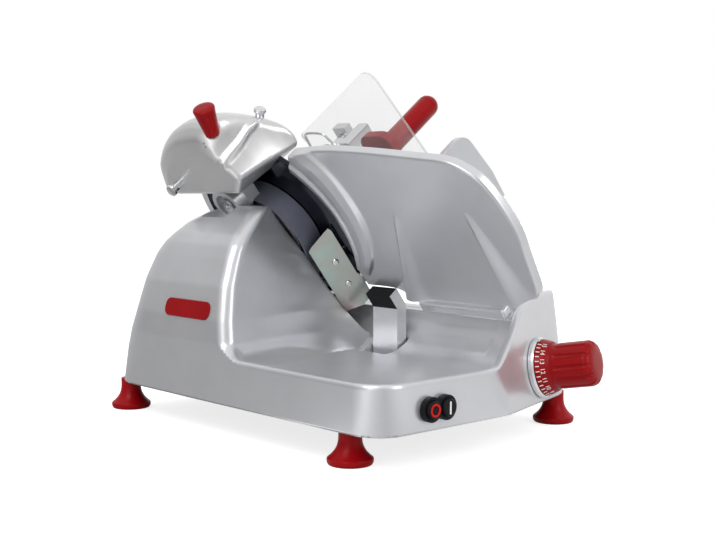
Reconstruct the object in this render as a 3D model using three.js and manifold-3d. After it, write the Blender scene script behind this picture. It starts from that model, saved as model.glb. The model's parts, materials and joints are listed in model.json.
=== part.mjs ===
// Compact gravity-feed slicer with a tilted round blade, seen as its user stands:
// +X is to the user's right, +Y away from the user, +Z up. Lengths are millimetres.
// The blade, gauge plate, sharpener and product carriage are laid out in the cutting
// frame: u runs along the carriage's travel (+Y), v up the blade's plane, and w out
// of the blade towards the product.
import * as THREE from 'three';
import Module from 'manifold-3d';
import { mergeVertices } from 'three/addons/utils/BufferGeometryUtils.js';

const wasm = await Module();
wasm.setup();

const { sin, cos, PI, hypot, max } = Math;
const rad = THREE.MathUtils.degToRad;
const v2 = (x, y) => new THREE.Vector2(x, y);
const v3 = (x, y, z) => new THREE.Vector3(x, y, z);

// Driving dimensions

const fit = {
  gap: 0.3, overrun: 2, roundSteps: 4, planSteps: 6, edgeSteps: 32,
  sides: 18, smallSides: 12, turnSides: 32, fineSides: 36, discSides: 64,
};

const blade = {
  radius: 97.5, tilt: 38, x: -12.4, y: 66.5, z: 192.3,
  backFace: 4.2, bevelWidth: 13.5, edgeBack: 0.5, hollowMargin: 21.5, hollowDepth: 1.6,
  boltCircle: 24, boltRadius: 3, boltHead: 5, boltHeadHeight: 1.6, boltCount: 3,
};

const foot = {
  fromLeft: 24.4, fromRight: 19, fromFront: 58.4, fromRear: 12.7, height: 31, rimRadius: 19.5,
  baseRadius: 18.2,
  neckRadius: 9.8, baseEdge: 2.4, rimLevel: 5.5, studRadius: 2.5, studLength: 8,
};

const base = {
  left: -155.4, right: 150, front: -226.7, rear: 181, facetStart: 1.8, facetAngle: 16.6,
  facetLean: 9.5, wall: 5, skirtTop: 73.6, rimRound: 4, coverLevel: 32, coverThickness: 2,
  cornerFront: 30, cornerFacet: 14, cornerKnob: 72, cornerRearRight: 30, cornerRearLeft: 50,
  rightDraft: 0.13, rearDraft: 0.24,
};

const tray = {
  floor: 66, rimWidth: 7.5, sweepStart: 8, sweepRadius: 42, ridgeTop: 106,
  ridgeEdge: 86, rearEnd: 150,
};

const deck = { top: 94, slotLeft: 98, slotRight: 126, slotFront: -168, slotRear: 128 };

const shoulder = { left: -15.2, crest: 128, top: 150, inner: 62, depth: 58 };

const housing = {
  overBlade: 14.7, faceOffset: 30, wall: 5, cornerFront: 11, cornerRear: 56, cornerInner: 3,
  padRadius: 54, padDepth: 6, bossRadius: 25, bossDepth: 36, backDraft: 10,
};

const drive = {
  motorInside: 25.39, motorAngle: -56.31, shaftRadius: 7.5, shaftBack: 67, bearingRadius: 17.5,
  bearingWidth: 11, bearingFront: 31.5, bearingRear: 53, flangeRadius: 33, flangeBack: 9,
  pulleyRadius: 42, pulleyBack: 25, pulleyFront: 11, motorPulleyRadius: 12, beltThickness: 3,
  coverRadius: 54, coverSmall: 20, coverFront: 5, coverWall: 3, motorRadius: 38,
  motorLength: 84, motorShaftRadius: 5, motorFlange: 4, grooveDepth: 1.4, ribs: 3, lip: 1.5,
};

const deflector = {
  startU: -53, startW: -30, insideBlade: 21.5, runW: 25, thickness: 1.8, past: 1, drop: 96.8,
  screwShare: 0.57, screwHigh: -39, screwLow: -67, screwRadius: 2, headRadius: 3.6, headHeight: 2,
  lugThickness: 6, lugShare: 0.77, lugRootU: -45.7, lugHigh: -34, lugLow: -84,
};

const gauge = {
  thickness: 10, length: 220.5, shortfall: 6, arcClearance: 1.6, arcLow: 212, arcHigh: 137,
  travel: 17.8, lipHeight: 11, lipFront: 4, lipBack: 15, chamferU: -44, chamferV: 7,
  chamferRadius: 84, chamferFlare: 24, chamferDepth: 3, grooveDepth: 0.8, grooveWidth: 2.6,
  groovePitch: 7, grooveLow: -66, grooveCount: 21, ribHeight: 6, ribBury: 1,
  armFront: -127, armRear: -93, armInset: 17.5, armHeight: 21, armBack: 22,
};

const slide = {
  barRadius: 6, frontBarY: -86, rearBarY: -18, barZ: 47, barLeft: -70, barRight: 84,
  lugRadius: 11, lugLength: 12, left: 14, right: 66, front: -98, rear: -6, bottom: 37.5, top: 57,
  stemLeft: 26, stemRight: 38, fingerLeft: 46, fingerRight: 59, fingerFront: -181,
  fingerBottom: 46, fingerTop: 64, pinRadius: 3, pinFront: -8, pinBack: -24,
};

const knob = {
  x: 71, z: 62, ringRadius: 27.5, ringHeight: 5, ringEdge: 1.5, skirtRadius: 25.6,
  skirtHeight: 10, skirtEdge: 2, skirtFlare: 3, neckRadius: 19.4, neckRise: 1.6,
  bodyRadius: 20.6, length: 55.5, crown: 7, flutes: 12, fluteRadius: 6, fluteDepth: 1.5,
  fluteSides: 10, dimpleRadius: 3, dimpleDepth: 1.3, shaftRadius: 4.5, shaftEnd: 32, camNear: 9,
  camFar: 15, camLow: 6.4, turn: 336, indexAngle: 108, indexWidth: 4, indexRise: 2,
};

const power = {
  x: -90.5, z: 49.6, pitch: 17, lobeRadius: 10.4, depth: 5, buttonRadius: 7.6,
  buttonEdge: 1, buttonProud: 3, buttonLength: 13, travel: 2.5, markRadius: 4.4, markWidth: 1.3,
  markDepth: 0.5, boxWidth: 36, boxHeight: 18, boxDepth: 24,
};

const badge = { y: 36.5, z: 113, length: 71, height: 17, thickness: 2.4, bury: 0.9, corner: 7 };

const gland = {
  x: -62, z: 50, flangeRadius: 10, flangeDepth: 4, nutRadius: 8, nutDepth: 5,
  threadRadius: 6, threadDepth: 12, boreRadius: 3.4,
};

const hood = {
  wall: 4, overBlade: 46.5, back: -52, front: 22, rearFall: 13, corner: 12, arcPoints: 10,
  bossRadius: 19, bossU: -2, bossV: 54, bossBack: 48, bossFront: 30.4, recessRadius: 14,
  recessDepth: 7, screwRadius: 8, screwHex: 4, studRadius: 4, columnLow: 48,
  columnPastBlade: 8.5, headHeight: 12, headLeft: -40, headBack: 44, columnFront: 20,
  columnLeft: -21, columnRight: 17,
};

const clamp = {
  angle: 104, rise: 2.44, w: -35.5, lean: 5, lowRadius: 8.8, topRadius: 11.6, height: 27,
  foot: 2, flare: 0.4, dome: 3, studRadius: 4, studLength: 29, padDepth: 10,
};

const grinder = {
  stoneRadius: 15, stoneThickness: 7, spindleRadius: 4, capRadius: 6, capWaist: 4.4,
  capHeight: 9.5, capEdge: 1.4, sharpAngle: 61.34, sharpPast: 0.5, sharpFront: -8.5,
  sharpBack: -56, honeRadius: 9, honeThickness: 6, honeAngle: 109.8, honeRise: 5, honeLength: 24,
};

const ring = {
  clearance: 2, width: 8.5, back: -8, front: 2.4, startAngle: -106, endAngle: 33,
  lugRadius: 6, lugAngles: [-76, -44],
};

const cover = {
  margin: 6, back: -1.4, front: 0.1, tongueAngle: -22, tongueWidth: 22, tongueBack: 0.1,
  tongueFront: 2, screwHead: 4, screwHeadHeight: 1.4, screwRadius: 2, screwDepth: 6,
};

const carriage = {
  rodX: 112, rodZ: 62, rodRadius: 8, rodFront: -180, rodRear: 164, barX: 127, barZ: 61,
  barSize: 10, barFront: -164, lugSize: 12, footHalf: 20, footLeft: 99, footRight: 125,
  forkHalf: 10, forkRight: 135, footTop: 82, footBottom: 50, y: -40, columnHalfX: 11,
  columnHalfY: 16, flangeHalf: 24, flangeNear: 68, flangeFar: 118, flangeDepth: 7,
  lockZ: 122, lockRadius: 12, lockWaist: 8, lockEdge: 2, lockLength: 18, lockStud: 4,
};

const table = {
  surfaceV: -76, thickness: 7, frontU: -135, rearU: 62, nearW: 4, farW: 160,
  fenceThickness: 7, fenceTop: -7, fenceFar: 145, nearTop: 45, nearRun: 20, slopeEnd: 60,
  lipDrop: 12, lipThickness: 5, ribHeight: 1, ribWidth: 3, ribPitch: 18, ribCount: 9,
  postFront: 38, postRear: 58, postTop: 4, postThickness: 10,
};

const pusher = {
  rodU: 48, rodV: -10, rodRadius: 6, collarRadius: 12, collarFar: 124, bushRadius: 8.5,
  bushFlange: 11, bushLip: 1.5, armNear: 99, armFar: 108, armFront: -42, armLow: -16,
  armHigh: -4, barLeft: -24, barRight: -10, barHigh: 20, barFar: 135, plateNear: 86,
  plateLow: -70, plateHigh: -12, plateFront: -116.5, plateRear: 24, spikeRadius: 2,
  spikeLength: 5, spikeSides: 6, spikeColumns: 5, spikeRows: 3, handleU: -71, handleV: 8,
  handleRadius: 11.4, handleFlare: 1, handleFar: 188, footFront: -87, footRear: -44,
  footLow: -12, footHigh: 28, footNear: 98.6, footFar: 108,
};

const guard = {
  near: 95, far: 98, rearU: 38, rearV: 35, peakU: -116, peakV: 109, frontU: -135, frontV: -3,
  fenceU: -125, lowV: -40, corner: 12, wireRadius: 1.6, wireW: 102, wireHigh: 32,
  wireSteps: 24, wireSides: 8,
};

const finish = {
  castAluminium: { color: 0xb9bbbf, roughness: 0.32, metalness: 1 },
  brightAluminium: { color: 0xd4d5d8, roughness: 0.22, metalness: 1 },
  steel: { color: 0xc4c6ca, roughness: 0.25, metalness: 1 },
  bladeSteel: { color: 0x8f939b, roughness: 0.15, metalness: 1 },
  darkSteel: { color: 0x4a4c50, roughness: 0.4, metalness: 1 },
  redPlastic: { color: 0xa3151b, roughness: 0.28, metalness: 0 },
  redRubber: { color: 0x8f1216, roughness: 0.5, metalness: 0 },
  blackPlastic: { color: 0x17181a, roughness: 0.5, metalness: 0 },
  blackRubber: { color: 0x1c1c1d, roughness: 0.8, metalness: 0 },
  clearPlastic: { color: 0xf3f4f2, roughness: 0.08, metalness: 0, opacity: 0.3, transparent: true },
  stone: { color: 0xb9b3a6, roughness: 0.9, metalness: 0 },
  motorPaint: { color: 0x3c4148, roughness: 0.6, metalness: 0.2 },
};

// Sizes that follow from others

const housingTop = blade.z + housing.overBlade;
const bladeBevel = blade.radius - blade.bevelWidth;
const bladeHollow = blade.radius - blade.hollowMargin;
const coverRadius = bladeHollow - cover.margin;
const ringInner = blade.radius + ring.clearance;
const ringOuter = ringInner + ring.width;
const ringMiddle = (ringInner + ringOuter) / 2;
const gaugeRise = blade.radius - gauge.shortfall;
const armHigh = gauge.armInset - gaugeRise;
const deflectorRunU = deflector.insideBlade - blade.radius - deflector.startU;
const deflectorWidth = hypot(deflectorRunU, deflector.runW) + deflector.past;
const hoodRadius = blade.radius + hood.overBlade;
const columnHigh = blade.radius + hood.columnPastBlade;

// Frames

const polar = (radius, degrees) => [radius * cos(rad(degrees)), radius * sin(rad(degrees))];
const [motorU, motorV] = polar(blade.radius - drive.motorInside, drive.motorAngle);

const tilt = rad(blade.tilt);
const cutFrame = new THREE.Matrix4()
  .makeBasis(v3(0, 1, 0), v3(-sin(tilt), 0, cos(tilt)), v3(cos(tilt), 0, sin(tilt)))
  .setPosition(blade.x, blade.y, blade.z);

// The facet's outward axis carries the knob; the knob frame's z runs out of the facet.
const facetAngle = rad(base.facetAngle);
const facetLean = rad(base.facetLean);
const facetY = (x) => base.front + Math.tan(facetAngle) * (x - base.facetStart);
const facetAxis = v3(
  sin(facetAngle) * cos(facetLean), -cos(facetAngle) * cos(facetLean), sin(facetLean),
);
const knobSeat = v3(
  knob.x, facetY(knob.x) + (knob.z - foot.height) * Math.tan(facetLean), knob.z,
);
const knobUp = v3(0, 0, 1).addScaledVector(facetAxis, -facetAxis.z).normalize();
const knobFrame = new THREE.Matrix4()
  .makeBasis(knobUp.clone().cross(facetAxis), knobUp, facetAxis)
  .setPosition(knobSeat);

function frameAt(parent, origin, xAxis, zAxis) {
  const z = zAxis.clone().normalize();
  const x = xAxis.clone().addScaledVector(z, -xAxis.dot(z)).normalize();
  const local = new THREE.Matrix4().makeBasis(x, z.clone().cross(x), z).setPosition(origin);
  return parent.clone().multiply(local);
}

const world = new THREE.Matrix4();

// Solids and booleans

function toSolid(geometry, matrix = world) {
  const plain = geometry.clone();
  plain.deleteAttribute('normal');
  plain.deleteAttribute('uv');
  plain.applyMatrix4(matrix);
  const merged = mergeVertices(plain, 1e-4);
  const points = merged.attributes.position;
  const index = Array.from(merged.index.array);
  let volume = 0;
  const [a, b, c] = [v3(), v3(), v3()];
  const triVerts = [];
  for (let i = 0; i < index.length; i += 3) {
    const [p, q, r] = [index[i], index[i + 1], index[i + 2]];
    if (p === q || q === r || r === p) continue;
    a.fromBufferAttribute(points, p);
    b.fromBufferAttribute(points, q);
    c.fromBufferAttribute(points, r);
    volume += a.dot(b.cross(c));
    triVerts.push(p, q, r);
  }
  if (volume < 0) triVerts.reverse();
  return new wasm.Manifold(new wasm.Mesh({
    numProp: 3,
    vertProperties: new Float32Array(points.array),
    triVerts: new Uint32Array(triVerts),
  }));
}

function toGeometry(solid) {
  const mesh = solid.getMesh();
  const geometry = new THREE.BufferGeometry();
  geometry.setAttribute('position', new THREE.BufferAttribute(mesh.vertProperties, 3));
  geometry.setIndex(new THREE.BufferAttribute(mesh.triVerts, 1));
  geometry.computeVertexNormals();
  return geometry;
}

const join = (first, ...rest) => rest.reduce((sum, next) => sum.add(next), first);
const cut = (first, ...rest) => rest.reduce((left, next) => left.subtract(next), first);

function box(x0, x1, y0, y1, z0, z1, matrix = world) {
  const geometry = new THREE.BoxGeometry(x1 - x0, y1 - y0, z1 - z0);
  geometry.translate((x0 + x1) / 2, (y0 + y1) / 2, (z0 + z1) / 2);
  return toSolid(geometry, matrix);
}

// A cylinder or cone on the frame's z axis, from level z0 to z1.
function post(
  radius, z0, z1, matrix = world, { x = 0, y = 0, top = radius, sides = fit.sides } = {},
) {
  const geometry = new THREE.CylinderGeometry(top, radius, z1 - z0, sides);
  geometry.rotateX(PI / 2);
  geometry.translate(x, y, (z0 + z1) / 2);
  return toSolid(geometry, matrix);
}

// A turned piece: profile points are [radius, level] from axis to axis.
function turned(profile, matrix = world, sides = fit.sides) {
  const geometry = new THREE.LatheGeometry(profile.map(([r, z]) => v2(r, z)), sides);
  geometry.rotateX(PI / 2);
  return toSolid(geometry, matrix);
}

// A flat outline given as points, from level z0 to z1.
function slab(outline, z0, z1, matrix = world) {
  const geometry = new THREE.ExtrudeGeometry(new THREE.Shape(outline), {
    depth: z1 - z0, bevelEnabled: false,
  });
  geometry.translate(0, 0, z0);
  return toSolid(geometry, matrix);
}

// Skins outlines of equal point counts, each at its own level, into one closed body.
function loft(sections, matrix = world) {
  const count = sections[0].outline.length;
  const position = [];
  for (const { outline, level } of sections) {
    for (const p of outline) position.push(p.x, p.y, level);
  }
  const index = [];
  for (let row = 0; row < sections.length - 1; row += 1) {
    for (let i = 0; i < count; i += 1) {
      const next = (i + 1) % count;
      const [a, b] = [row * count + i, row * count + next];
      index.push(a, b, b + count, a, b + count, a + count);
    }
  }
  const lastRow = (sections.length - 1) * count;
  for (const [a, b, c] of THREE.ShapeUtils.triangulateShape(sections[0].outline, [])) {
    index.push(c, b, a);
  }
  for (const [a, b, c] of THREE.ShapeUtils.triangulateShape(sections.at(-1).outline, [])) {
    index.push(a + lastRow, b + lastRow, c + lastRow);
  }
  const geometry = new THREE.BufferGeometry();
  geometry.setAttribute('position', new THREE.Float32BufferAttribute(position, 3));
  geometry.setIndex(index);
  return toSolid(geometry, matrix);
}

// Outlines

// Rounds each corner [x, y, radius] of a polygon listed anticlockwise.
function rounded(corners, steps = fit.roundSteps) {
  const outline = [];
  corners.forEach(([x, y, radius], i) => {
    const before = corners.at(i - 1);
    const after = corners[(i + 1) % corners.length];
    const into = v2(x - before[0], y - before[1]).normalize();
    const out = v2(after[0] - x, after[1] - y).normalize();
    const turn = Math.acos(THREE.MathUtils.clamp(into.dot(out), -1, 1));
    const side = Math.sign(into.cross(out)) || 1;
    const reach = radius * Math.tan(turn / 2);
    const startAngle = Math.atan2(into.y, into.x) - (side * PI) / 2;
    const centre = v2(x, y).addScaledVector(into, -reach)
      .add(v2(-into.y, into.x).multiplyScalar(side * radius));
    for (let k = 0; k <= steps; k += 1) {
      const angle = startAngle + (side * turn * k) / steps;
      outline.push(v2(centre.x + radius * cos(angle), centre.y + radius * sin(angle)));
    }
  });
  return outline;
}

// Moves each side of a polygon of corners inwards and takes the same off its radii.
function inset(corners, distance) {
  const lines = corners.map(([x, y], i) => {
    const [nx, ny] = corners[(i + 1) % corners.length];
    const length = hypot(nx - x, ny - y);
    const [dx, dy] = [(nx - x) / length, (ny - y) / length];
    return { x: x - dy * distance, y: y + dx * distance, dx, dy };
  });
  return corners.map(([, , radius], i) => {
    const a = lines.at(i - 1);
    const b = lines[i];
    const t = ((b.x - a.x) * b.dy - (b.y - a.y) * b.dx) / (a.dx * b.dy - a.dy * b.dx);
    return [a.x + a.dx * t, a.y + a.dy * t, max(radius - distance, fit.gap)];
  });
}

function arcPoints(x, y, radius, fromDegrees, toDegrees, steps) {
  return Array.from({ length: steps + 1 }, (_, i) => {
    const angle = rad(fromDegrees + ((toDegrees - fromDegrees) * i) / steps);
    return v2(x + radius * cos(angle), y + radius * sin(angle));
  });
}

// The outline round two circles, as a belt runs.
function beltOutline(r0, x1, y1, r1, steps = fit.sides) {
  const distance = hypot(x1, y1);
  const towards = (Math.atan2(y1, x1) * 180) / PI;
  const half = (Math.acos((r0 - r1) / distance) * 180) / PI;
  return [
    ...arcPoints(0, 0, r0, towards + half, towards + 360 - half, steps),
    ...arcPoints(x1, y1, r1, towards - half, towards + half, max(steps / 2, 4)),
  ];
}

// The half of space beyond a plane, as a large box whose near face is the plane.
function beyondPlane(point, normal) {
  const size = base.right - base.left + base.rear - base.front;
  const side = Math.abs(normal.z) > 0.9 ? v3(1, 0, 0) : v3(0, 0, 1);
  const frame = frameAt(world, point, side, normal);
  return box(-size, size, -size, size, 0, size, frame);
}

// The motor housing's outline at a level: wide at the foot, drawn in towards the top.
const housingShares = [
  // level, left wall, rear wall, front at the left wall, front at the blade side
  [0.000, 0.000, 0.000, 0.000, 0.000],
  [0.200, 0.000, 0.064, 0.000, 0.077],
  [0.239, 0.000, 0.076, 0.205, 0.150],
  [0.307, 0.002, 0.102, 0.386, 0.310],
  [0.426, 0.042, 0.152, 0.490, 0.540],
  [0.534, 0.104, 0.182, 0.584, 0.600],
  [0.597, 0.142, 0.200, 0.639, 0.625],
  [0.733, 0.279, 0.248, 0.758, 0.690],
  [0.800, 0.360, 0.300, 0.812, 0.760],
  [0.852, 0.453, 0.366, 0.861, 0.830],
  [0.909, 0.590, 0.448, 0.911, 0.885],
  [0.960, 0.726, 0.579, 0.957, 0.940],
  [0.985, 0.800, 0.660, 0.980, 0.970],
  [1.000, 0.876, 0.731, 0.990, 1.000],
];
const housingFrame = {
  left: base.left, crownX: -75, rear: base.rear, crownY: 36,
  frontLeftLow: -45, frontLeftHigh: -1, frontRightLow: -16, frontRightHigh: 36,
  cornerShrink: 0.7,
};

// The badge plaque lies on the housing's sloping left wall; extra widens its outline.
const badgeSlope = rad(14.6);
const badgeFrame = frameAt(
  world, v3(badgeWallX(badge.z), badge.y, badge.z), v3(0, -1, 0),
  v3(-cos(badgeSlope), 0, sin(badgeSlope)),
);

function badgeWallX(level) {
  const share = (level - foot.height) / (housingTop - foot.height);
  const above = housingShares.findIndex(([rowShare]) => rowShare > share);
  const [low, high] = [housingShares[above - 1], housingShares[above]];
  const part = (share - low[0]) / (high[0] - low[0]);
  const leftShare = THREE.MathUtils.lerp(low[1], high[1], part);
  return THREE.MathUtils.lerp(housingFrame.left, housingFrame.crownX, leftShare);
}

function plaque(height, extra) {
  const [x, y] = [badge.length / 2 + extra, badge.height / 2 + extra];
  const corners = [[-x, -y], [x, -y], [x, y], [-x, y]].map((c) => [...c, badge.corner]);
  return slab(rounded(corners), -badge.bury - extra, height - badge.bury, badgeFrame);
}

const glandFrame = frameAt(
  world, v3(gland.x, base.rear, gland.z), v3(1, 0, 0), v3(0, 1, 0),
);

const model = new THREE.Group();

function addPiece(name, solid, look, parent = model) {
  const mesh = new THREE.Mesh(toGeometry(solid), new THREE.MeshStandardMaterial(finish[look]));
  mesh.name = name;
  parent.add(mesh);
  return mesh;
}

// Pieces that lie square in the cutting frame are built in it and placed by this group.
const cutting = new THREE.Group();
cutting.applyMatrix4(cutFrame);
model.add(cutting);

const knobGroup = new THREE.Group();
knobGroup.applyMatrix4(knobFrame);
model.add(knobGroup);

// Base casting: skirt, tray, ridge, deck, shoulder and motor housing in one piece

const facetEndY = facetY(base.right);
const planCorners = [
  [base.left, base.front, base.cornerFront],
  [base.facetStart, base.front, base.cornerFacet],
  [base.right, facetEndY, base.cornerKnob],
  [base.right, base.rear, base.cornerRearRight],
  [base.left, base.rear, base.cornerRearLeft],
];

// The plan draws in towards the top at the right and the rear.
function planAt(level, distance) {
  const rise = level - foot.height;
  const drafted = planCorners.map(([x, y, radius]) => [
    x === base.right ? x - rise * base.rightDraft : x,
    y === base.rear ? y - rise * base.rearDraft : y,
    radius,
  ]);
  return rounded(inset(drafted, distance), fit.planSteps);
}

function planLoft(levels) {
  return loft(levels.map(([level, distance]) => ({ level, outline: planAt(level, distance) })));
}

// The tray's cross-section: flat floor, then a concave sweep up to the ridge.
const sweepCentreZ = tray.floor + tray.sweepRadius;
const sweepEnd = (Math.acos((sweepCentreZ - tray.ridgeTop) / tray.sweepRadius) * 180) / PI;
const sweep = (radius, steps) => arcPoints(
  tray.sweepStart, sweepCentreZ, radius, -90, -90 + sweepEnd, steps,
);

// Extrudes an outline drawn in x and z along y.
function alongY(outline, y0, y1) {
  const frame = new THREE.Matrix4().makeBasis(v3(1, 0, 0), v3(0, 0, 1), v3(0, -1, 0));
  return slab(outline, -y1, -y0, frame);
}

function bladeSideX(level, offset) {
  return blade.x + ((blade.z - level) * sin(tilt) - offset) / cos(tilt);
}

function housingSections(distance) {
  const frame = housingFrame;
  return housingShares.map(([share, leftShare, rearShare, leftFront, rightFront]) => {
    const level = foot.height + (housingTop - foot.height) * share;
    const left = frame.left + (frame.crownX - frame.left) * leftShare;
    const rear = frame.rear + (frame.crownY - frame.rear) * rearShare;
    const frontLeft = frame.frontLeftLow + (frame.frontLeftHigh - frame.frontLeftLow) * leftFront;
    const frontRight = frame.frontRightLow
      + (frame.frontRightHigh - frame.frontRightLow) * rightFront;
    const right = max(bladeSideX(level, housing.faceOffset), left) + housing.backDraft;
    const shrink = 1 - frame.cornerShrink * leftShare;
    const corners = [
      [left, frontLeft, housing.cornerFront],
      [right, frontRight, housing.cornerInner],
      [right, rear, housing.cornerInner],
      [left, rear, housing.cornerRear * shrink],
    ];
    const drop = distance * share;
    return { level: level - drop, outline: rounded(inset(corners, distance), fit.roundSteps) };
  });
}

function housingShape(distance) {
  const body = loft(housingSections(distance));
  const face = v3(0, 0, -housing.faceOffset - distance).applyMatrix4(cutFrame);
  return body.subtract(beyondPlane(face, v3(cos(tilt), 0, sin(tilt))));
}

// The shoulder's height along x: how far to the right wall, and how far up to the crest.
const shoulderShares = [
  [0, 0.065], [0.11, 0.258], [0.255, 0.54], [0.349, 0.782], [0.42, 0.87], [0.492, 0.927],
  [0.6, 0.975], [0.728, 1], [1, 1],
];

function buildBase() {
  const size = base.right - base.left;
  const skirt = planLoft([
    [foot.height, base.rimRound / 2],
    [foot.height + base.rimRound / 2, 0],
    [base.skirtTop - base.rimRound, 0],
    [base.skirtTop - base.rimRound * 0.3, base.rimRound * 0.3],
    [base.skirtTop, base.rimRound],
  ]);

  const rightProfile = [
    v2(tray.sweepStart, tray.floor - base.wall),
    ...sweep(tray.sweepRadius, fit.planSteps),
    v2(tray.ridgeEdge, tray.ridgeTop),
    v2(tray.ridgeEdge, deck.top),
    v2(base.right + size, deck.top),
    v2(base.right + size, tray.floor - base.wall),
  ];
  const upper = planLoft([
    [tray.floor - base.wall, 0],
    [deck.top, 0],
    [shoulder.top, 0],
  ]);
  const rightBlock = alongY(rightProfile, base.front - size, base.rear + size).intersect(upper);

  const shoulderTop = shoulderShares.map(([run, rise]) => v2(
    shoulder.left + (base.right - shoulder.left) * run,
    tray.floor + (shoulder.crest - tray.floor) * rise,
  ));
  const shoulderProfile = [
    v2(shoulder.left, tray.floor - base.wall),
    v2(base.right + size, tray.floor - base.wall),
    v2(base.right + size, shoulder.crest),
    ...shoulderTop.reverse(),
  ];
  const shoulderBody = alongY(shoulderProfile, base.front - size, base.front + shoulder.depth)
    .intersect(upper);

  const facetFoot = v3(base.facetStart, base.front, foot.height);
  const facetCut = beyondPlane(facetFoot, facetAxis);
  const behindFacet = (depth) => beyondPlane(
    facetFoot.clone().addScaledVector(facetAxis, -depth), facetAxis,
  );
  const pocketPlan = planLoft([[foot.height, tray.rimWidth], [shoulder.top, tray.rimWidth]])
    .subtract(behindFacet(tray.rimWidth));
  const pocketProfile = [
    v2(base.left - size, tray.floor),
    ...sweep(tray.sweepRadius, fit.planSteps),
    v2(shoulder.inner, tray.ridgeTop),
    v2(shoulder.inner, shoulder.top + size),
    v2(base.left - size, shoulder.top + size),
  ];
  const pocket = alongY(pocketProfile, base.front - size, tray.rearEnd).intersect(pocketPlan);

  const motorHousing = housingShape(0);
  const pad = post(housing.padRadius, -housing.faceOffset - housing.padDepth,
    -housing.faceOffset, cutFrame, { sides: fit.fineSides });

  let body = join(skirt, rightBlock, shoulderBody);
  body = cut(body, pocket, facetCut);
  body = join(body, motorHousing, pad);

  // The hollow under the skirt and inside the housing, open at the bottom.
  const inner = planLoft([
    [foot.height - fit.overrun, base.wall],
    [shoulder.top, base.wall],
  ]).subtract(behindFacet(base.wall));
  const innerProfile = [
    v2(base.left - size, foot.height - fit.overrun),
    v2(base.right + size, foot.height - fit.overrun),
    v2(base.right + size, deck.top - base.wall),
    v2(tray.ridgeEdge - base.wall, deck.top - base.wall),
    v2(tray.ridgeEdge - base.wall, tray.ridgeTop - base.wall),
    ...sweep(tray.sweepRadius + base.wall, fit.planSteps).reverse()
      .filter((p) => p.y < tray.ridgeTop - base.wall * 1.5),
    v2(base.left - size, tray.floor - base.wall),
  ];
  const hollow = alongY(innerProfile, base.front, base.rear).intersect(inner);
  const housingHollow = housingShape(housing.wall).intersect(
    box(base.left, base.right, base.front, base.rear, foot.height - fit.overrun, housingTop),
  );
  const mouth = slab(rounded(inset(housingMouth(), housing.wall)),
    foot.height - fit.overrun, foot.height + fit.overrun);
  body = cut(body, hollow, housingHollow, mouth);

  // Bearing boss, its bore, the motor's passage and the seats cut into the casting.
  const boss = post(housing.bossRadius, -housing.faceOffset - housing.bossDepth,
    -housing.faceOffset, cutFrame);
  const bearingBore = post(drive.bearingRadius + fit.gap,
    -housing.faceOffset - housing.bossDepth - fit.overrun, -housing.faceOffset + fit.overrun,
    cutFrame);
  const motorHole = post(drive.motorPulleyRadius + base.wall,
    -housing.faceOffset - housing.wall - fit.overrun, -housing.faceOffset + fit.overrun,
    cutFrame, { x: motorU, y: motorV });
  const envelope = planLoft([[foot.height, 0], [shoulder.top, 0]]).subtract(facetCut);
  const lugs = join(...guideLugs(), ...footPlaces().map(footBoss)).intersect(envelope);
  body = cut(join(body, boss, buildDeflectorLug(), lugs), bearingBore, motorHole);

  const bracketSeat = post(hood.bossRadius + fit.gap, -hood.bossBack - hood.bossRadius,
    -housing.faceOffset + fit.overrun, cutFrame, { x: hood.bossU, y: hood.bossV });
  const columnSeat = box(
    hood.columnLeft - fit.gap, hood.columnRight + fit.gap, hood.columnLow - fit.gap,
    columnHigh, -hood.bossFront - base.wall, -hood.columnFront, cutFrame,
  );
  const ringSeat = post(ringOuter + fit.overrun, ring.back - fit.overrun,
    ring.front + fit.overrun, cutFrame, { sides: fit.fineSides });
  const ringLugSeats = ringLugPlaces().map(([x, y]) => post(ring.lugRadius + fit.gap,
    -housing.faceOffset, ring.back, cutFrame, { x, y }));
  const slot = box(deck.slotLeft, deck.slotRight, deck.slotFront, deck.slotRear,
    deck.top - base.wall - fit.overrun, shoulder.top + size);
  const knobBore = post(knob.shaftRadius + fit.gap, -base.wall - fit.overrun, fit.overrun,
    knobFrame);
  const switchHole = box(
    power.x - power.boxWidth / 2 - fit.gap, power.x + power.boxWidth / 2 + fit.gap,
    base.front - fit.overrun, base.front + base.wall + fit.overrun,
    power.z - power.boxHeight / 2 - fit.gap, power.z + power.boxHeight / 2 + fit.gap,
  );
  const glandHole = post(gland.threadRadius + fit.gap, -gland.threadDepth, fit.overrun,
    glandFrame, { sides: fit.sides });
  const stemSlot = box(
    slide.stemLeft - gauge.travel - fit.overrun, slide.stemRight + fit.overrun,
    blade.y + gauge.armFront - fit.overrun, blade.y + gauge.armRear + fit.overrun,
    slide.top, tray.ridgeTop,
  );
  body = cut(body, bracketSeat, columnSeat, ringSeat, slot, knobBore, switchHole, glandHole,
    stemSlot, plaque(badge.thickness, fit.gap), ...ringLugSeats, ...guideBores());
  return cut(body, ...footPlaces().map(footBore));
}

// Lugs inside the skirt hold the ends of the carriage rod, its guide bar and the gauge bars.
const alongAxis = (axis, x, y, z) => frameAt(world, v3(x, y, z), v3(0, 0, 1), axis);

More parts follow.
